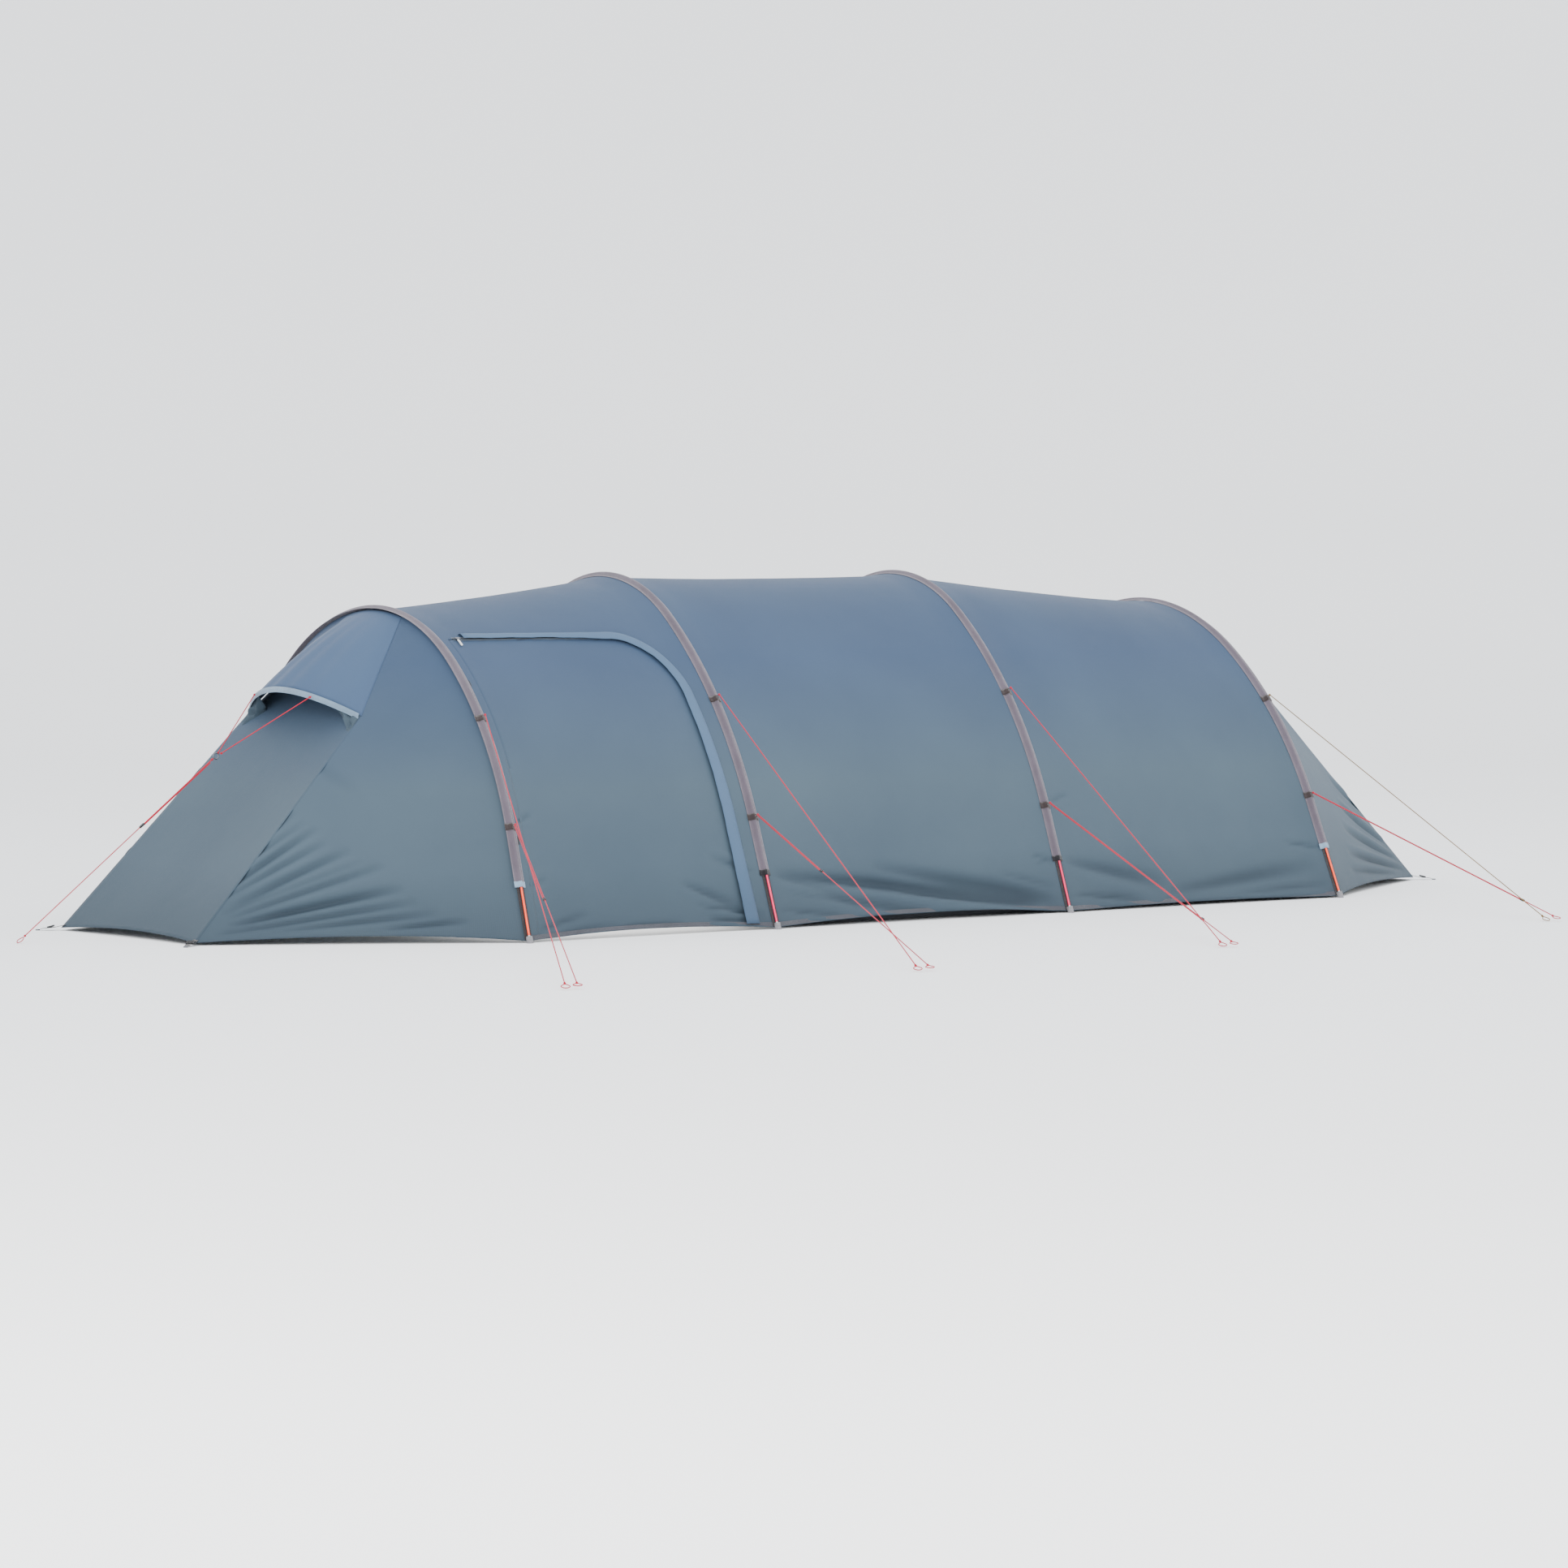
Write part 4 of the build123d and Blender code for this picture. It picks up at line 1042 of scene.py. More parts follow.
class TentCordSettings(bpy.types.PropertyGroup):
    """Sizes and colours of the guy lines."""

    colour: bpy.props.FloatVectorProperty(
        name="Cord", description="Colour of the guy lines", subtype="COLOR",
        size=3, min=0, max=1, default=srgb(172, 6, 34))
    diameter: bpy.props.FloatProperty(
        name="Diameter", description="Diameter of the guy lines", default=0.0046,
        min=0.002, max=0.006, unit="LENGTH")


class TentStageSettings(bpy.types.PropertyGroup):
    """The floor, the light and the camera."""

    floor: bpy.props.FloatVectorProperty(
        name="Floor", description="Colour of the studio floor", subtype="COLOR",
        size=3, min=0, max=1, default=(0.97, 0.97, 0.97))
    lens: bpy.props.FloatProperty(
        name="Lens", description="Focal length of the camera", default=126.8, min=20,
        max=400, unit="CAMERA")
    key: bpy.props.FloatProperty(
        name="Main light", description="Power of the large light overhead", default=1300,
        min=0, max=20000, unit="POWER")


# The pieces


class TENT_OT_stage(bpy.types.Operator):
    """Set up the floor, the soft light and the camera"""

    bl_idname = "tunnel_tent.stage"
    bl_label = "Stage"

    def execute(self, context):
        look = context.scene.tent_stage
        camera = bpy.data.objects.new("Camera", bpy.data.cameras.new("Camera"))
        context.scene.collection.objects.link(camera)
        camera.data.lens = look.lens
        camera.data.sensor_width = 36
        camera.data.clip_end = 200
        camera.location = CAMERA_PLACE
        camera.rotation_euler = (pi / 2 - CAMERA_DIP, 0, CAMERA_TURN)
        context.scene.camera = camera
        self.floor(look)
        self.lights(context, look)
        return {"FINISHED"}

    def floor(self, look):
        """A floor that curves up into a backdrop, across the camera's view."""
        turn = Matrix.Rotation(-0.655, 3, "Z")
        rows = [
            [turn @ Vector((x, distance, height)) for x in (-60, -20, 20, 60)]
            for distance, height in BACKDROP
        ]
        bm = grid(rows, Vector((0, 0, -50)))
        floor = put("studio_floor", to_mesh(bm, "studio_floor"))
        f = Finish("floor", rough=0.9, specular=0.1)
        tone = tuple(look.floor)
        f.colour(f.ramp(f.cloudy(0.4), [(0.3, shade(tone, 0.99)), (0.7, tone)]))
        floor.data.materials.append(f.material)

    def lights(self, context, look):
        for name, place, size, power, colour in (
            ("overhead", (0, -2, 9), 12, look.key * 0.35, (0.90, 0.95, 1.0)),
            ("front", (-12, -13, 7), 8, look.key * 1.3, (1.0, 0.99, 0.97)),
            ("fill", (12, -12, 4), 9, look.key * 0.5, (0.96, 1.0, 0.98)),
        ):
            light = bpy.data.objects.new(name, bpy.data.lights.new(name, "AREA"))
            light.data.size = size
            light.data.energy = power
            light.data.color = colour
            light.location = place
            way = Vector((0, 0, 0.6)) - Vector(place)
            light.rotation_euler = way.to_track_quat("-Z", "Y").to_euler()
            context.scene.collection.objects.link(light)
        # Lamps under the fly keep the floor beneath its hem as pale as the floor round it.
        for x, length in ((-1.7, 1.2), (0.65, 3.0)):
            light = bpy.data.objects.new("under_fly", bpy.data.lights.new("under_fly", "AREA"))
            light.data.shape = "RECTANGLE"
            light.data.size, light.data.size_y = length, 2.3
            light.data.energy = 14 * length
            light.location = (x, 0, 0.16)
            context.scene.collection.objects.link(light)
        world = bpy.data.worlds.new("studio")
        world.use_nodes = True
        background = world.node_tree.nodes["Background"]
        background.inputs["Color"].default_value = (0.93, 0.96, 1.0, 1.0)
        background.inputs["Strength"].default_value = 2.0
        context.scene.world = world


def knot_points(centre, way, size):
    """An overhand knot drawn tight: a trefoil, as a closed path about a line."""
    side = way.orthogonal().normalized()
    other = way.cross(side)
    points = []
    for a in turn_angles(36):
        radius = size * (0.62 + 0.3 * cos(3 * a))
        points.append(
            centre + side * radius * cos(2 * a) + other * radius * sin(2 * a)
            + way * size * 0.88 * sin(3 * a)
        )
    return points


def line_curve(name, start, end, material):
    """A taut cord between two points as one open NURBS spline."""
    curve = bpy.data.curves.new(name, "CURVE")
    curve.dimensions = "3D"
    curve.bevel_depth = bpy.context.scene.tent_cords.diameter / 2
    curve.bevel_resolution = 3
    curve.use_fill_caps = True
    spline = curve.splines.new("NURBS")
    spline.points.add(2)
    for point, place in zip(spline.points, (start, start.lerp(end, 0.5), end)):
        point.co = (*place, 1.0)
    spline.order_u = 3
    spline.use_endpoint_u = True
    spline.resolution_u = 12
    return put(name, curve, material)


class TENT_OT_guy_lines(bpy.types.Operator):
    """Rig the guy lines, their knots, loops, ring and tensioners"""

    bl_idname = "tunnel_tent.guy_lines"
    bl_label = "Guy lines"

    def knots(self, name, start, end, loop, nodes, material):
        way = (end - start).normalized()
        bm = bmesh.new()
        bm.loops.layers.uv.new("UVMap")
        for place in (start, end):
            add_tube(bm, knot_points(place, way, KNOT_SIZE), KNOT_CORD_RADIUS, closed=True)
        # The short end that passes through the band's lug.
        add_tube(bm, [start - way * 0.009, start + way * 0.006], CORD_RADIUS * 0.95)
        if loop:
            across = way.cross(Vector((0, 0, 1))).normalized()
            centre = end + way * (KNOT_HALF + LOOP_RADIUS + 0.0023)
            # A loop narrows to its knot, as it does round a peg.
            ring = []
            for a in turn_angles(40):
                pinch = 1 - 0.45 * smooth((cos(a) + 0.2) / 1.2)
                ring.append(centre - way * LOOP_RADIUS * cos(a)
                            + across * LOOP_RADIUS * sin(a) * pinch)
            add_tube(bm, ring, CORD_RADIUS, closed=True)
        return plain(name, bm, material, nodes=nodes)

    def cord(self, name, start, end, material, far_end, nodes=(), pieces=()):
        """A taut cord from start to end, which stands for these nodes."""
        line = line_curve(name, start, end, material)
        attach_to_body(line, "tent")
        if nodes:
            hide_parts(*nodes)

    def execute(self, context):
        for name, ends in GUY_LINES.items():
            start, end = (Vector(p) for p in ends)
            way = (end - start).normalized()
            material = finish("cord_gold" if name == "rear_upper" else "cord")
            nodes = ["guy_knots", "peg_loops"]
            pieces = [self.knots(f"knots_{name}", start, end, True, nodes, material)]
            if name in TENSIONER_SHARES:
                pieces.append(NODES[f"guy_slider_{name}"])
                dress(f"guy_slider_{name}", "plastic")
            first, last = start + way * KNOT_HALF, end - way * KNOT_HALF
            self.cord(f"line_{name}", first, last, material, "knot", [f"guy_line_{name}"], pieces)
            if name in TENSIONER_SHARES:
                self.second_strand(name, start, end, way, material)
        for name, ends in BRIDLES.items():
            start, end = (Vector(p) for p in ends)
            way = (end - start).normalized()
            material = finish("cord")
            knots = self.knots(f"knots_bridle_{name}", start, end, False, ["guy_knots"], material)
            first, last = start + way * KNOT_HALF, end - way * KNOT_HALF
            nodes = [f"guy_bridle_{name}"]
            self.cord(f"bridle_{name}", first, last, material, "knot", nodes, [knots])
        dress("bridle_ring", "steel")
        return {"FINISHED"}

    def second_strand(self, name, start, end, way, material):
        """The line's own tail, which runs back beside it from the tensioner to its band."""
        centre = start.lerp(end, TENSIONER_SHARES[name])
        beside = Vector((way.y, -way.x, 0)).normalized() * STRAND_GAP
        if name == "nose":
            beside = Vector((0, 0, -1)) * STRAND_GAP
        high = start + way * STRAND_END + beside * 0.6
        low = centre - way * STRAND_END + beside * 0.5
        self.cord(f"tail_{name}", high, low, material, "object")


def hem_tape(bm, bay, side):
    """The tape along the hem of one side of a bay."""
    rows = []
    for v in steps(60):
        shares = [HEM_TAPE_LOW + HEM_TAPE_WIDTH * w for w in steps(2)]
        places = [u if side < 0 else 1 - u for u in shares]
        rows.append([bay.point(u, 0.012 + 0.976 * v, 0.0006) for u in places])
    add_strip(bm, rows, 0.0009, bay.inside)


def bay_bmesh(bay, along=78, over=236):
    return grid(bay.rows(along, over), bay.inside)


def near_faces(bm):
    return [face for face in bm.faces if face.calc_center_median().y < 0]


def door_planes(inset, front_inset):
    """The planes that bound the door, each a point and a normal away from the door."""
    arch = ARCHES[0]
    front = arch.x + DOOR_FRONT + front_inset
    rear, top = arch.x + DOOR_REAR - inset, DOOR_TOP - inset
    radius = DOOR_CORNER - inset
    centre = Vector((rear - radius, 0, top - radius))
    planes = [(Vector((front, 0, 0)), Vector((-cos(arch.lean), 0, sin(arch.lean))))]
    for i in range(13):
        a = radians(90 * i / 12)
        normal = Vector((cos(a), 0, sin(a)))
        planes.append((centre + normal * radius, normal))
    return planes


def carve(bm, planes, chosen):
    """Cuts bm by the planes and gives the faces that lie within all of them."""
    inside = chosen
    for point, normal in planes:
        edges = {e for f in inside for e in f.edges}
        verts = {v for f in inside for v in f.verts}
        result = bmesh.ops.bisect_plane(
            bm, geom=list(inside) + list(edges) + list(verts), dist=1e-6,
            plane_co=point, plane_no=normal)
        faces = [g for g in result["geom"] if isinstance(g, bmesh.types.BMFace)]
        inside = [f for f in faces if (f.calc_center_median() - point).dot(normal) < 0]
    return inside


class TENT_OT_fly(bpy.types.Operator):
    """Lay the fly's three bays over the arches"""

    bl_idname = "tunnel_tent.fly"
    bl_label = "Fly"

    def execute(self, context):
        creases = (FRONT_CREASES, MIDDLE_CREASES, REAR_CREASES)
        for bay, name, folds in zip(BAYS, ("front", "middle", "rear"), creases):
            bm = bay_bmesh(bay)
            width, length, area = flat_size(bay.rows(20, 60))
            if name == "front":
                door = carve(bm, door_planes(0.0, 0.0), near_faces(bm))
                area -= sum(f.calc_area() for f in door)
                bmesh.ops.delete(bm, geom=door, context="FACES")
            mesh = to_mesh(bm, f"fly_{name}")
            press(mesh, folds)
            tapes = bmesh.new()
            for side in (-1, 1):
                hem_tape(tapes, bay, side)
            tape = plain(f"hem_tape_{name}", tapes, finish("hem"))
            piece = put(f"fly_{name}", mesh, finish("fly"))
            declare_cloth(piece, "tent", None,
                          [f"fly_{name}_bay"])
        return {"FINISHED"}


# Steps along the top, round the corner and down the rear edge of the door's border.
BORDER_STEPS = (28, 17, 40)
# The storm flap's section, as shares of its width and lifts off the cloth.
FLAP_SECTION = (
    (0.0, 0.0012), (0.10, 0.0075), (0.24, 0.0142), (0.5, 0.0154), (0.7, 0.0152),
    (0.86, 0.0146), (1.0, 0.0136),
)


def border_place(k, inset, start):
    """X and Z of step k along the door's top, corner and rear edge, this far inside its outline."""
    rear, centre = ARCHES[0].x + DOOR_REAR - DOOR_CORNER, DOOR_TOP - DOOR_CORNER
    first, radius = ARCHES[0].x + start, DOOR_CORNER - inset
    along, turn, down = BORDER_STEPS
    if k < along:
        return first + (rear - first) * k / along, DOOR_TOP - inset
    if k < along + turn:
        a = pi / 2 * (1 - (k - along) / (turn - 1))
        return rear + radius * cos(a), centre + radius * sin(a)
    low = HEM_HEIGHT + 0.014
    return rear + radius, centre + (low - centre) * (k + 1 - along - turn) / down


def border_rows(profile, start):
    """Rows of near wall points along the door's border; profile(k) gives insets and lifts."""
    return [
        [BAYS[0].find(*border_place(k, inset, start), lift) for inset, lift in profile(k)]
        for k in range(sum(BORDER_STEPS))
    ]


def flap_profile(k):
    """The storm flap's section: sewn down outside the zip, raised over it, wider further down."""
    along, turn, down = BORDER_STEPS
    way = smooth((k - along * 0.5) / (along * 0.5 + turn))
    drop = max(0.0, (k - along - turn) / down)
    outer = -0.0185 - 0.010 * way - 0.016 * drop
    width = 0.024 + 0.034 * way + 0.020 * drop
    wave = 0.0011 * sin(k * 0.9) + 0.0007 * sin(k * 2.3)
    return [(outer + width * q, lift + wave * q) for q, lift in FLAP_SECTION]


class TENT_OT_door(bpy.types.Operator):
    """Hang the door with its zip, storm flap, pull and toggles"""

    bl_idname = "tunnel_tent.door"
    bl_label = "Door"

    def execute(self, context):
        bay = BAYS[0]
        # The door turns over a narrow strip, so its front edge stays sewn to the fly.
        arch = ARCHES[0]
        start = Vector((arch.x + DOOR_FRONT, -1.0, 0.0))
        end = start + Vector((cos(arch.lean), 0, -sin(arch.lean))) * DOOR_HINGE
        hinge = ("tent", "door", tuple(start), tuple(end))
        bm = bay_bmesh(bay)
        door = set(carve(bm, door_planes(0.003, 0.0001), near_faces(bm)))
        bmesh.ops.delete(bm, geom=[f for f in bm.faces if f not in door], context="FACES")
        loose = [v for v in bm.verts if not v.link_faces]
        bmesh.ops.delete(bm, geom=loose, context="VERTS")
        area = sum(f.calc_area() for f in bm.faces)
        mesh = to_mesh(bm, "door_cloth")
        press(mesh, FRONT_CREASES)
        door = put("door_cloth", mesh, finish("fly"))
        width, height = DOOR_CUT
        area = min(area * CREASE_ALLOWANCE, width * height)
        declare_cloth(door, hinge, None, ["door_panel"])
        seam = bmesh.new()
        rows = []
        for v in steps(70):
            z = HEM_HEIGHT + 0.004 + (DOOR_TOP - HEM_HEIGHT) * v
            x = arch.x + DOOR_FRONT + z * tan(arch.lean)
            rows.append([bay.find(x + a, z, -0.0022) for a in (-TAPE_HALF, 0.0, TAPE_HALF)])
        add_strip(seam, rows, 0.0006, bay.inside)
        plain("door_seam", seam, finish("fly"))

        def tape(k):
            return [(-TAPE_HALF, 0.0005), (0.0, 0.0014), (TAPE_HALF, 0.0005)]

        cloth("zip_tape", border_rows(tape, ZIP_START), bay.inside, finish("zip_tape"), hinge,
              wall=0.0008, nodes=["door_zip"], uneven=0.0)
        path = [row[0] for row in border_rows(lambda k: [(0.0, 0.0022)], ZIP_START)]
        items_along("zip_teeth", [path], 0.0022, 0.0013, 0.0042, finish("teeth"), hinge)
        cloth("storm_flap", border_rows(flap_profile, FLAP_START), bay.inside, finish("flap"),
              hinge, wall=0.0009, nodes=["door_storm_flap"], uneven=0.0)
        dress("door_zip_slider", "steel")
        dress("door_zip_pull", "white")
        dress("door_toggles", "plastic")
        return {"FINISHED"}


class TENT_OT_ends(bpy.types.Operator):
    """Close the nose and the tail, with the vent hood over the nose"""

    bl_idname = "tunnel_tent.ends"
    bl_label = "Nose and tail"

    def execute(self, context):
        for end, name, folds in ((NOSE, "nose", NOSE_CREASES), (TAIL, "tail", TAIL_CREASES)):
            for hand, where in ((-1, "near"), (1, "far")):
                cloth(f"{name}_side_cloth_{where}", end.side_rows(hand, 150, 96), end.inside,
                      finish("fly"), creases=folds, nodes=[f"{name}_side_{where}"])
        rows = [[NOSE.front_point(c, v) for c in side_to_side(60)] for v in steps(70)]
        for v in steps(10)[1:]:
            rows.append([
                self.behind_hood(c, 0.42 * v * (1 - 0.35 * abs(c))) for c in side_to_side(60)
            ])
        cloth("nose_front", rows, NOSE.inside, finish("fly"), nodes=["nose_front_panel"])
        rows = [[TAIL.front_point(c, v) for c in side_to_side(60)] for v in steps(70)]
        for v in steps(24)[1:]:
            rows.append([
                TAIL.front_point(c, 1).lerp(TAIL.crown(c, CROWN_HALF), v) for c in side_to_side(60)
            ])
        cloth("tail_end", rows, TAIL.inside, finish("fly"), nodes=["tail_panel"])
        self.hood()
        return {"FINISHED"}

    def behind_hood(self, c, share):
        """A point between the end panel's top and the crown, under the hood."""
        foot = NOSE.front_point(c, 1)
        return foot.lerp(NOSE.crown(c, CROWN_HALF - 0.028, 0.024), share)

    def gusset(self, hand):
        """Crumpled cloth that joins the hood's corner to the end panel."""
        rows = []
        for v in steps(22):
            row = []
            for w in steps(20):
                c = hand * (HOOD_END - 0.42 * w)
                low = NOSE.front_point(hand * (HOOD_END - 0.26 * w), 1.0 - 0.10 * (1 - w))
                p = NOSE.hood_edge(c).lerp(low, v) + Vector((0.006, 0, 0))
                ruck = noise.noise(Vector((w * 5.0, v * 4.0, hand))) + 0.6 * sin(w * 15 + v * 4)
                row.append(p + Vector((-0.7, 0, 0.5)) * 0.019 * ruck * sin(pi * v) * smooth(w * 5))
            rows.append(row)
        where = "near" if hand < 0 else "far"
        cloth(f"hood_gusset_{where}", rows, Vector((-2.3, 0, 0.8)), finish("gusset"), wall=0.0009,
              uneven=0.0)

    def hood(self):
        self.gusset(-1)
        self.gusset(1)
        rows = []
        for v in steps(30):
            lift = HOOD_CROWN * 4 * v * (1 - v)
            row = []
            for c in side_to_side(72):
                p = NOSE.crown(c, CROWN_HALF).lerp(NOSE.hood_edge(c), v)
                p = p + Vector((0, 0, lift * (1 - c**4)))
                p = p + Vector((-0.6, 0, 0.8)) * 0.0025 * sin(c * 21) * smooth(v * 1.2)
                row.append(p)
            rows.append(row)
        hem = bmesh.new()
        front, down = Vector((-0.9, 0, 0.1)), Vector((-0.15, 0, -1.0))
        strip = []
        for share in steps(60):
            p = NOSE.hood_edge(HOOD_END * (2 * share - 1))
            strip.append([
                p + front * 0.003 + Vector((0, 0, 0.005)),
                p + front * 0.007 + down * 0.006,
                p + front * 0.005 + down * 0.020,
            ])
        add_strip(hem, strip, 0.0022, Vector((-2.3, 0, 0.9)))
        hem_piece = plain("hood_hem", hem, finish("strip"), nodes=["vent_hood_rod"])
        cloth("hood_cloth", rows, NOSE.inside, finish("hood"), nodes=["vent_hood"])
        net = []
        for v in steps(16):
            row = []
            for c in side_to_side(32):
                share = NET_START * (1 - 0.35 * abs(c))
                p = self.behind_hood(c * 0.98, share + (1 - share) * v)
                row.append(p - Vector((0, 0, 0.002)))
            net.append(row)
        cloth("vent_net", net, NOSE.inside, finish("net"), wall=0.0006, nodes=["vent_mesh"])


def sleeve_edges(index, s):
    """How high the cloth beside a sleeve lies, on the front and rear side of its arch."""
    arch = ARCHES[index]
    base, normal = arch.at(s), arch.outward(s)
    levels = []
    for bay, t_from in ((index - 1, 1), (index, 0)):
        if 0 <= bay <= 2:
            t = SLEEVE_HALF / BAYS[bay].span
            p = BAYS[bay].point(arch.share(s), 1 - t if t_from else t)
            levels.append((p - base).dot(normal) + 0.0012)
        else:
            levels.append(-EDGE_DROP + 0.002)
    return levels


def sleeve_section(index, s, grow=0.0):
    """The closed outline round a sleeve at a length along its arch, grown by this much."""
    arch = ARCHES[index]
    front, rear = sleeve_edges(index, s)
    half = SLEEVE_HALF + grow
    profile = [
        (-1.0, front), (-0.97, front + 0.0012), (-0.72, front + 0.0022), (-0.45, front + 0.0040),
        (-0.30, 0.0022), (-0.17, 0.0062), (0.0, 0.0080), (0.17, 0.0062), (0.30, 0.0022),
        (0.45, rear + 0.0040), (0.72, rear + 0.0022), (0.97, rear + 0.0012), (1.0, rear),
        (0.7, rear - 0.0006), (0.3, -0.0078), (0.0, -0.0084), (-0.3, -0.0078),
        (-0.7, front - 0.0006),
    ]
    edges, first_inner = (0, 12), 13
    ring = []
    for k, (a, n) in enumerate(profile):
        out = -grow if k >= first_inner else grow
        ring.append(arch.at(s, n + out * (0.2 if k in edges else 0.9), a * half))
    return ring


class TENT_OT_sleeves(bpy.types.Operator):
    """Sew the pole sleeves, their cuffs, the guy bands and the foot straps"""

    bl_idname = "tunnel_tent.sleeves"
    bl_label = "Sleeves and webbing"

    def execute(self, context):
        bands, cuffs_pale, cuffs_dark, straps = (bmesh.new() for _ in range(4))
        for bm in (bands, cuffs_pale, cuffs_dark, straps):
            bm.loops.layers.uv.new("UVMap")
        seams = []
        for index, name in enumerate(("front", "second", "third", "rear")):
            arch = ARCHES[index]
            first, last = SLEEVE_START, arch.length - SLEEVE_START
            rows = [sleeve_section(index, first + (last - first) * v) for v in steps(240)]
            inside = arch.at(arch.length / 2, -0.5)
            mesh = to_mesh(grid(rows, inside, closed=True), f"sleeve_{name}")
            piece = put(f"sleeve_{name}", mesh, finish("sleeve"))
            self.face_out(piece, index)
            declare_cloth(piece, "tent", 0.0008,
                          ["pole_sleeves"])
            for a in (-0.88, 0.88):
                path = []
                for v in steps(260):
                    s = first + (last - first) * v
                    level = sleeve_edges(index, s)[0 if a < 0 else 1]
                    path.append(arch.at(s, level + 0.0019, a * SLEEVE_HALF))
                seams.append(path)
            cuffs = cuffs_pale if index in (0, 3) else cuffs_dark
            for low in (first - 0.001, last - 0.025):
                self.wrap(cuffs, index, low, low + 0.026, 0.0016)
            upper = UPPER_BANDS[index]
            for s in (LOWER_BAND, upper, arch.length - upper, arch.length - LOWER_BAND):
                self.wrap(bands, index, s - BAND_LENGTH / 2, s + BAND_LENGTH / 2, 0.0024)
                self.lug(bands, arch, s)
            lowest, highest = arch.hem() + 0.004, SLEEVE_START + 0.004
            for low, high in ((lowest, highest), (arch.length - highest, arch.length - lowest)):
                rows = []
                for v in steps(10):
                    s = low + (high - low) * v
                    rows.append([arch.at(s, -0.0084, a * 0.018) for a in (-1, -0.5, 0, 0.5, 1)])
                add_strip(straps, rows, 0.0013, inside)
        plain("guy_band_loops", bands, finish("band"), nodes=["guy_bands"])
        plain("cuffs_end_arches", cuffs_pale, finish("cuff_pale"), nodes=["sleeve_cuffs"])
        plain("cuffs_middle_arches", cuffs_dark, finish("cuff_dark"), nodes=["sleeve_cuffs"])
        plain("foot_straps", straps, finish("strap"), nodes=["foot_straps"])
        items_along("sleeve_stitches", seams, 0.0055, 0.0036, 0.0009, finish("thread"))
        return {"FINISHED"}

    def face_out(self, piece, index):
        """Turns the faces of a tube round an arch away from the pole."""
        arch = ARCHES[index]
        bm = bmesh.new()
        bm.from_mesh(piece.data)
        total = 0.0
        middle = arch.at(arch.length / 2)
        for face in bm.faces:
            centre = face.calc_center_median()
            if abs(centre.y) < 0.2:
                total += face.normal.dot(centre - Vector((middle.x, centre.y, middle.z - 0.002)))
        if total < 0:
            bmesh.ops.reverse_faces(bm, faces=bm.faces[:])
        bm.to_mesh(piece.data)
        bm.free()

    def wrap(self, bm, index, low, high, wall):
        """A band round the sleeve, with its wall."""
        outer, inner = (
            [sleeve_section(index, low + (high - low) * v, grow) for v in steps(3)]
            for grow in (wall, 0.0003)
        )
        uv = bm.loops.layers.uv["UVMap"]
        made = []
        rings = [[bm.verts.new(p) for p in ring] for ring in outer + inner[::-1]]
        count = len(rings[0])
        for i, a in enumerate(rings):
            b = rings[(i + 1) % len(rings)]
            for k in range(count):
                face = bm.faces.new([a[k], a[(k + 1) % count], b[(k + 1) % count], b[k]])
                face.smooth = i < 3
                places = ((k, i), (k + 1, i), (k + 1, i + 1), (k, i + 1))
                for loop, (u, v) in zip(face.loops, places):
                    loop[uv].uv = (u * 0.006, v * 0.01)
                made.append(face)
        bmesh.ops.recalc_face_normals(bm, faces=made)

    def lug(self, bm, arch, s):
        """A small loop of cord on the band, which its guy line is tied to."""
        centre, out = arch.at(s, 0.0135), arch.outward(s)
        way = (arch.at(s + 0.001) - arch.at(s)).normalized()
        points = [centre + (out * cos(a) + way * sin(a)) * LUG_RADIUS for a in turn_angles(20)]
        add_tube(bm, points, 0.0016, closed=True)


class TENT_OT_corners(bpy.types.Operator):
    """Fit the pegging straps at the four corners"""

    bl_idname = "tunnel_tent.corners"
    bl_label = "Corner straps"

    def execute(self, context):
        bm = bmesh.new()
        for end in (NOSE, TAIL):
            for hand in (-1, 1):
                corner = end.out(NOSE_LENGTH, hand * CORNER_HALF, HEM_HEIGHT)
                way = Vector((end.side * 0.8, hand * 0.6, 0))
                across = way.cross(Vector((0, 0, 1)))
                start = corner - way * 0.035 + Vector((0, 0, 0.012))
                stop = corner + way * STRAP_LENGTH
                stop.z = 0.005
                rows = []
                for v in steps(12):
                    p = start.lerp(stop, v) + Vector((0, 0, 0.0012 * sin(v * 9)))
                    rows.append([p + across * STRAP_HALF * a for a in (-1, -0.5, 0, 0.5, 1)])
                add_strip(bm, rows, 0.0015, corner - Vector((0, 0, 1)))
        plain("corner_webbing", bm, finish("strap"), nodes=["corner_straps"])
        dress("corner_buckles", "plastic")
        dress("corner_grommets", "steel")
        return {"FINISHED"}


def inner_outline(arch, along, drop, s0, count):
    return [arch.at(s0 + (arch.length - 2 * s0) * v, -drop, along) for v in steps(count)]


def inner_start(arch):
    height = TUB_HEIGHT + 0.008
    return height / (cos(LEG_SPLAY) * cos(arch.lean)) + INNER_DROP * tan(LEG_SPLAY)


def inner_wall_rows(arch, along, drop):
    """Rows across an end wall of the inner tent, from its foot up to its crown."""
    s0 = inner_start(arch)
    rows = []
    for v in steps(48)[:-1]:
        s = s0 + (arch.length / 2 - s0) * v
        a, b = arch.at(s, -drop, along), arch.at(arch.length - s, -drop, along)
        rows.append([a.lerp(b, c) for c in steps(48)])
    return rows


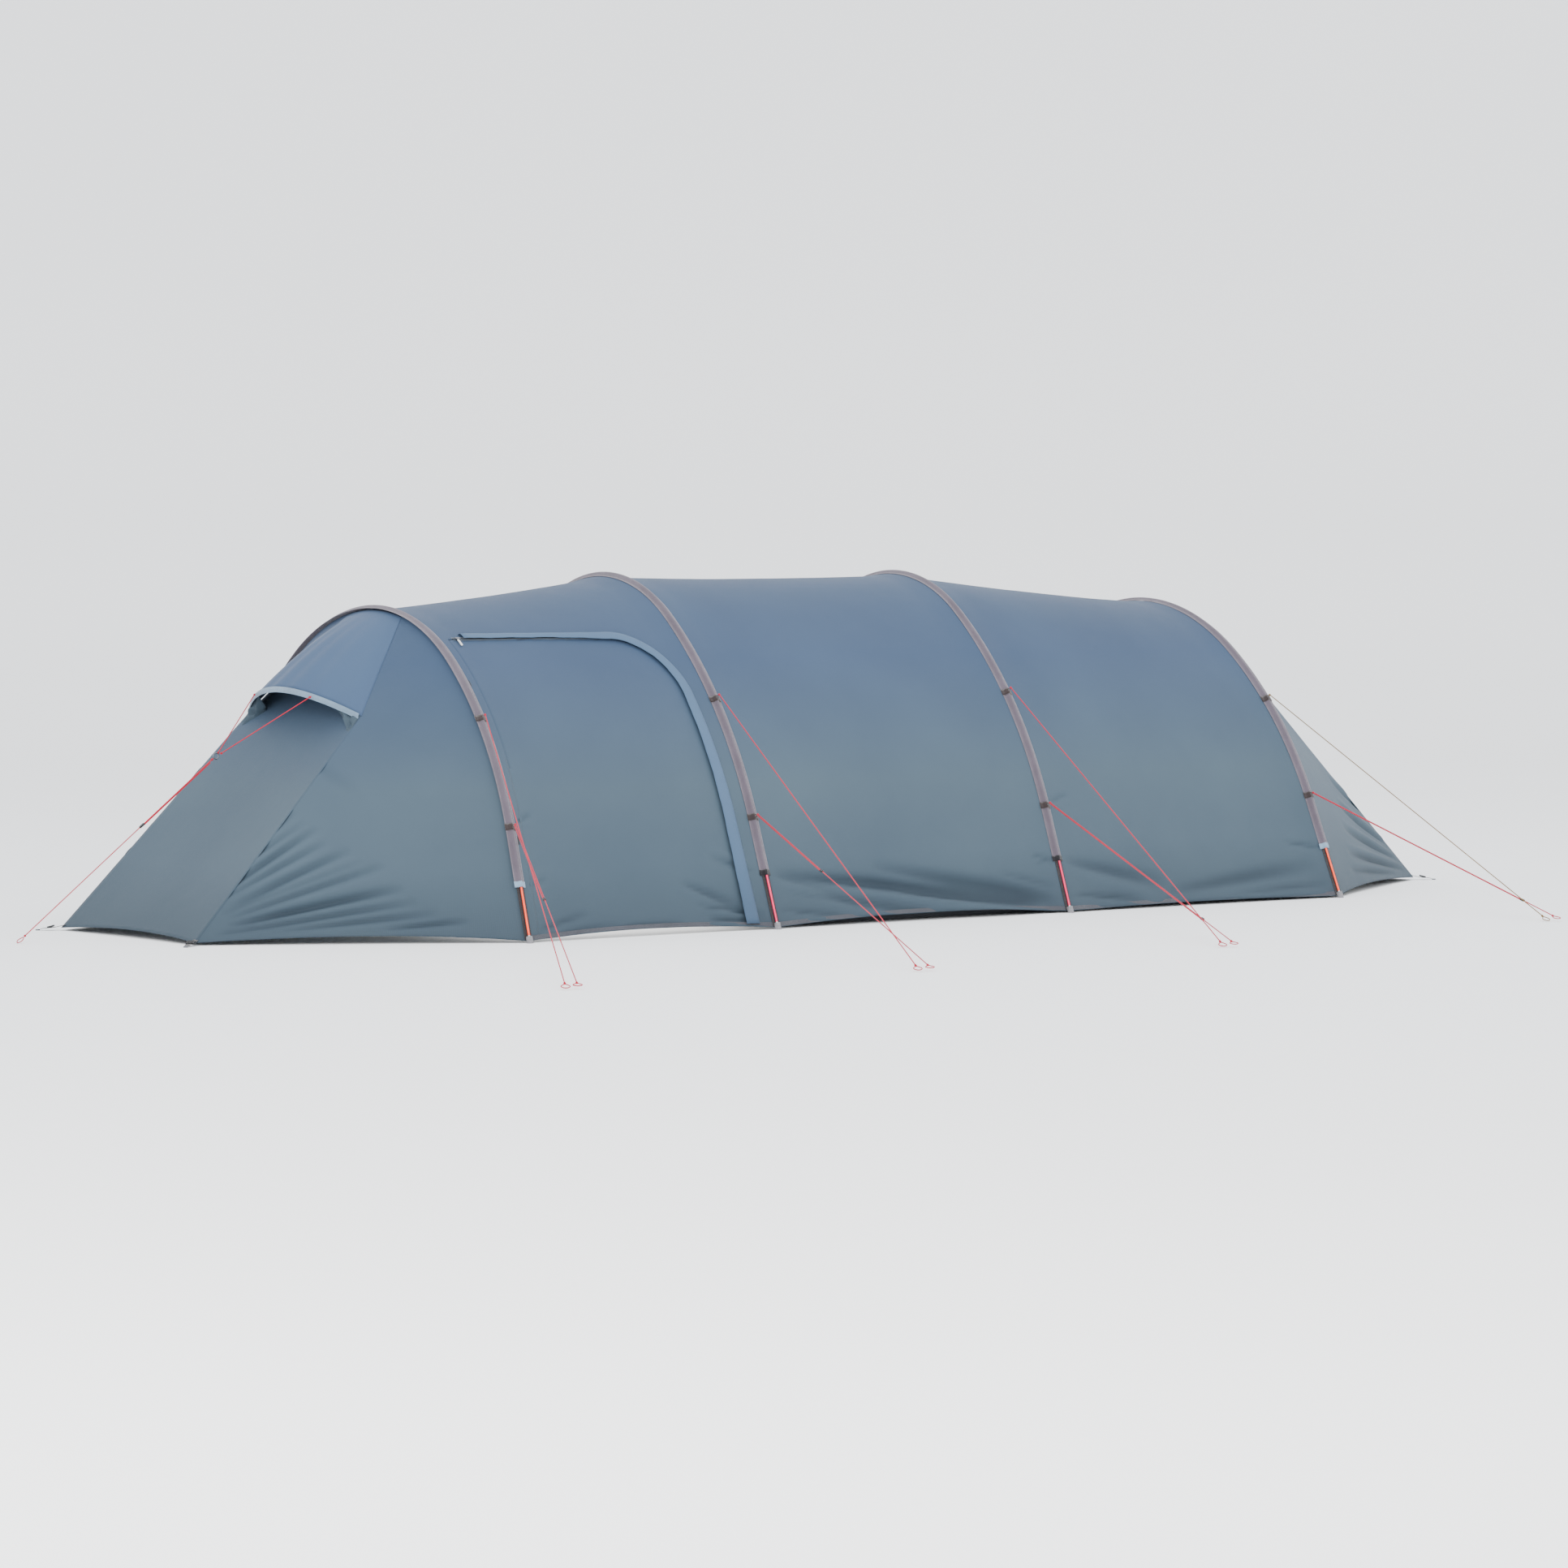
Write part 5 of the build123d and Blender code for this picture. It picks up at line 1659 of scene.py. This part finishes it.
class TENT_OT_inner(bpy.types.Operator):
    """Hang the inner tent with its tub floor, walls, door and hangers"""

    bl_idname = "tunnel_tent.inner"
    bl_label = "Inner tent"

    def execute(self, context):
        spans = ((ARCHES[1], INNER_GAP), (ARCHES[2], 0.0), (ARCHES[3], -INNER_GAP))
        lines = [inner_outline(a, along, INNER_DROP, inner_start(a), 90) for a, along in spans]
        rows = []
        for k in range(91):
            row = []
            for first, second in ((0, 1), (1, 2)):
                for t in steps(24)[: 24 if first == 0 else 25]:
                    p = lines[first][k].lerp(lines[second][k], t)
                    centre = Vector((p.x, 0, 0.4))
                    row.append(p + (centre - p).normalized() * 0.014 * 4 * t * (1 - t))
            rows.append(row)
        middle = Vector((0.6, 0, 0.3))
        cloth("inner_roof", rows, middle, finish("inner"), nodes=["inner_shell"])
        self.end_walls(middle)
        self.floor(spans)
        self.hangers(spans)
        return {"FINISHED"}

    def end_walls(self, middle):
        rear = inner_wall_rows(ARCHES[3], -INNER_GAP + 0.005, INNER_DROP + 0.003)
        cloth("inner_rear", rear, middle, finish("inner"), nodes=["inner_rear_wall"])
        rows = inner_wall_rows(ARCHES[1], INNER_GAP - 0.005, INNER_DROP + 0.003)
        for inset, name, node, body in (
            (0.0, "inner_front", "inner_front_wall", "tent"),
            (0.004, "inner_door_cloth", "inner_door", "inner_door_flap"),
        ):
            bm = grid(rows, middle)
            half, low, high, radius = (
                INNER_DOOR_HALF - inset, INNER_DOOR_LOW + inset, INNER_DOOR_HIGH - inset,
                INNER_DOOR_CORNER - inset,
            )
            planes = []
            for i in range(24):
                a = 2 * pi * i / 24
                normal = Vector((0, cos(a), sin(a)))
                centre = Vector((0, (half - radius) * (1 if cos(a) > 0 else -1),
                                 high - radius if sin(a) > 0 else low + radius))
                planes.append((centre + normal * radius, normal))
            opening = carve(bm, planes, bm.faces[:])
            taken = set(opening)
            if body == "tent":
                width, height = INNER_WALL_CUT
                bmesh.ops.delete(bm, geom=opening, context="FACES")
            else:
                width, height = INNER_DOOR_CUT
                rest = [f for f in bm.faces if f not in taken]
                bmesh.ops.delete(bm, geom=rest, context="FACES")
            area = min(sum(f.calc_area() for f in bm.faces) * CREASE_ALLOWANCE, width * height)
            piece = put(name, to_mesh(bm, name), finish("inner"))
            press(piece.data, (), unevenness=0.001)
            declare_cloth(piece, body, None, [node])

    def floor(self, spans):
        low_x = ARCHES[1].x + INNER_GAP + 0.002
        high_x = ARCHES[3].x - INNER_GAP - TUB_HEIGHT * tan(-ARCHES[3].lean) - 0.002
        half = -ARCHES[1].at(inner_start(ARCHES[1]), -INNER_DROP - 0.002).y - 0.002
        rows = []

        def fold(v, low, high):
            """Place and height across the tub: down the rim, along the floor, up the rim."""
            rim = TUB_RIM_SHARE
            if v < rim:
                return low, TUB_HEIGHT * (1 - v / rim)
            if v > 1 - rim:
                return high, TUB_HEIGHT * (v - 1 + rim) / rim
            return low + (high - low) * (v - rim) / (1 - 2 * rim), 0.0

        for v in steps(100):
            x, lift_x = fold(v, low_x, high_x)
            row = []
            for w in steps(80):
                y, lift_y = fold(w, -half, half)
                height = max(lift_x, lift_y)
                ruck = 0.004 * noise.noise(Vector((x * 4, y * 4, 1))) ** 2
                row.append(Vector((x, y, 0.0012 + height + (ruck if not height else 0))))
            rows.append(row)
        cloth("tub_floor", rows, Vector((0.6, 0, 0.5)), finish("floor_cloth"),
              nodes=["inner_groundsheet"],
              uneven=0.0)

    def hangers(self, spans):
        bm = bmesh.new()
        bm.loops.layers.uv.new("UVMap")
        for (arch, along), extra in zip(spans, (0.02, 0.0, -0.02)):
            for i in range(5):
                first = arch.length * 0.2
                s = first + (arch.length - 2 * first) * i / 4
                low = arch.at(s, -INNER_DROP + 0.004, along + extra)
                high = arch.at(s, -FLY_DROP - 0.006, along + extra)
                middle = low.lerp(high, 0.5)
                way, side = (high - low) / 2, Vector((1, 0, 0)) * 0.005
                points = [middle - way * cos(a) + side * sin(a) for a in turn_angles(20)]
                add_tube(bm, points, 0.0014, closed=True, sides=6)
        plain("hanger_loops", bm, finish("elastic"), nodes=["inner_hangers"])


class TENT_OT_hardware(bpy.types.Operator):
    """Finish the poles, their tips and cups"""

    bl_idname = "tunnel_tent.hardware"
    bl_label = "Poles and cups"

    def execute(self, context):
        for node, name in (
            ("pole_front", "pole_orange"), ("pole_second", "pole_red"),
            ("pole_third", "pole_red"), ("pole_rear", "pole_orange"),
            ("pole_ferrules", "aluminium"), ("pole_tips", "aluminium"),
            ("pole_shock_cords", "shock"), ("pole_cups", "cup"),
        ):
            dress(node, name)
        return {"FINISHED"}


class TENT_PT_panel(bpy.types.Panel):
    """Lists the tent's sizes, colours and pieces"""

    bl_label = "Tunnel tent"
    bl_idname = "TENT_PT_panel"
    bl_space_type = "VIEW_3D"
    bl_region_type = "UI"
    bl_category = "Tent"

    def draw(self, context):
        for group in (context.scene.tent_cloth, context.scene.tent_cords, context.scene.tent_stage):
            box = self.layout.box()
            for key in group.__annotations__:
                box.prop(group, key)
        for operator in OPERATORS:
            self.layout.operator(operator.bl_idname)


OPERATORS = (
    TENT_OT_stage,
    TENT_OT_guy_lines,
    TENT_OT_hardware,
    TENT_OT_fly,
    TENT_OT_door,
    TENT_OT_ends,
    TENT_OT_sleeves,
    TENT_OT_corners,
    TENT_OT_inner,
)
SETTINGS = {
    "tent_cloth": TentClothSettings,
    "tent_cords": TentCordSettings,
    "tent_stage": TentStageSettings,
}


def register():
    for cls in (*SETTINGS.values(), *OPERATORS, TENT_PT_panel):
        bpy.utils.register_class(cls)
    for name, group in SETTINGS.items():
        setattr(bpy.types.Scene, name, bpy.props.PointerProperty(type=group))


def unregister():
    for name in SETTINGS:
        delattr(bpy.types.Scene, name)
    for cls in (TENT_PT_panel, *OPERATORS[::-1], *list(SETTINGS.values())[::-1]):
        bpy.utils.unregister_class(cls)


def main():
    register()
    bpy.ops.tunnel_tent.stage()
    bpy.ops.tunnel_tent.guy_lines()
    bpy.ops.tunnel_tent.hardware()
    bpy.ops.tunnel_tent.fly()
    bpy.ops.tunnel_tent.door()
    bpy.ops.tunnel_tent.ends()
    bpy.ops.tunnel_tent.sleeves()
    bpy.ops.tunnel_tent.corners()
    bpy.ops.tunnel_tent.inner()


if __name__ == "__main__":
    main()
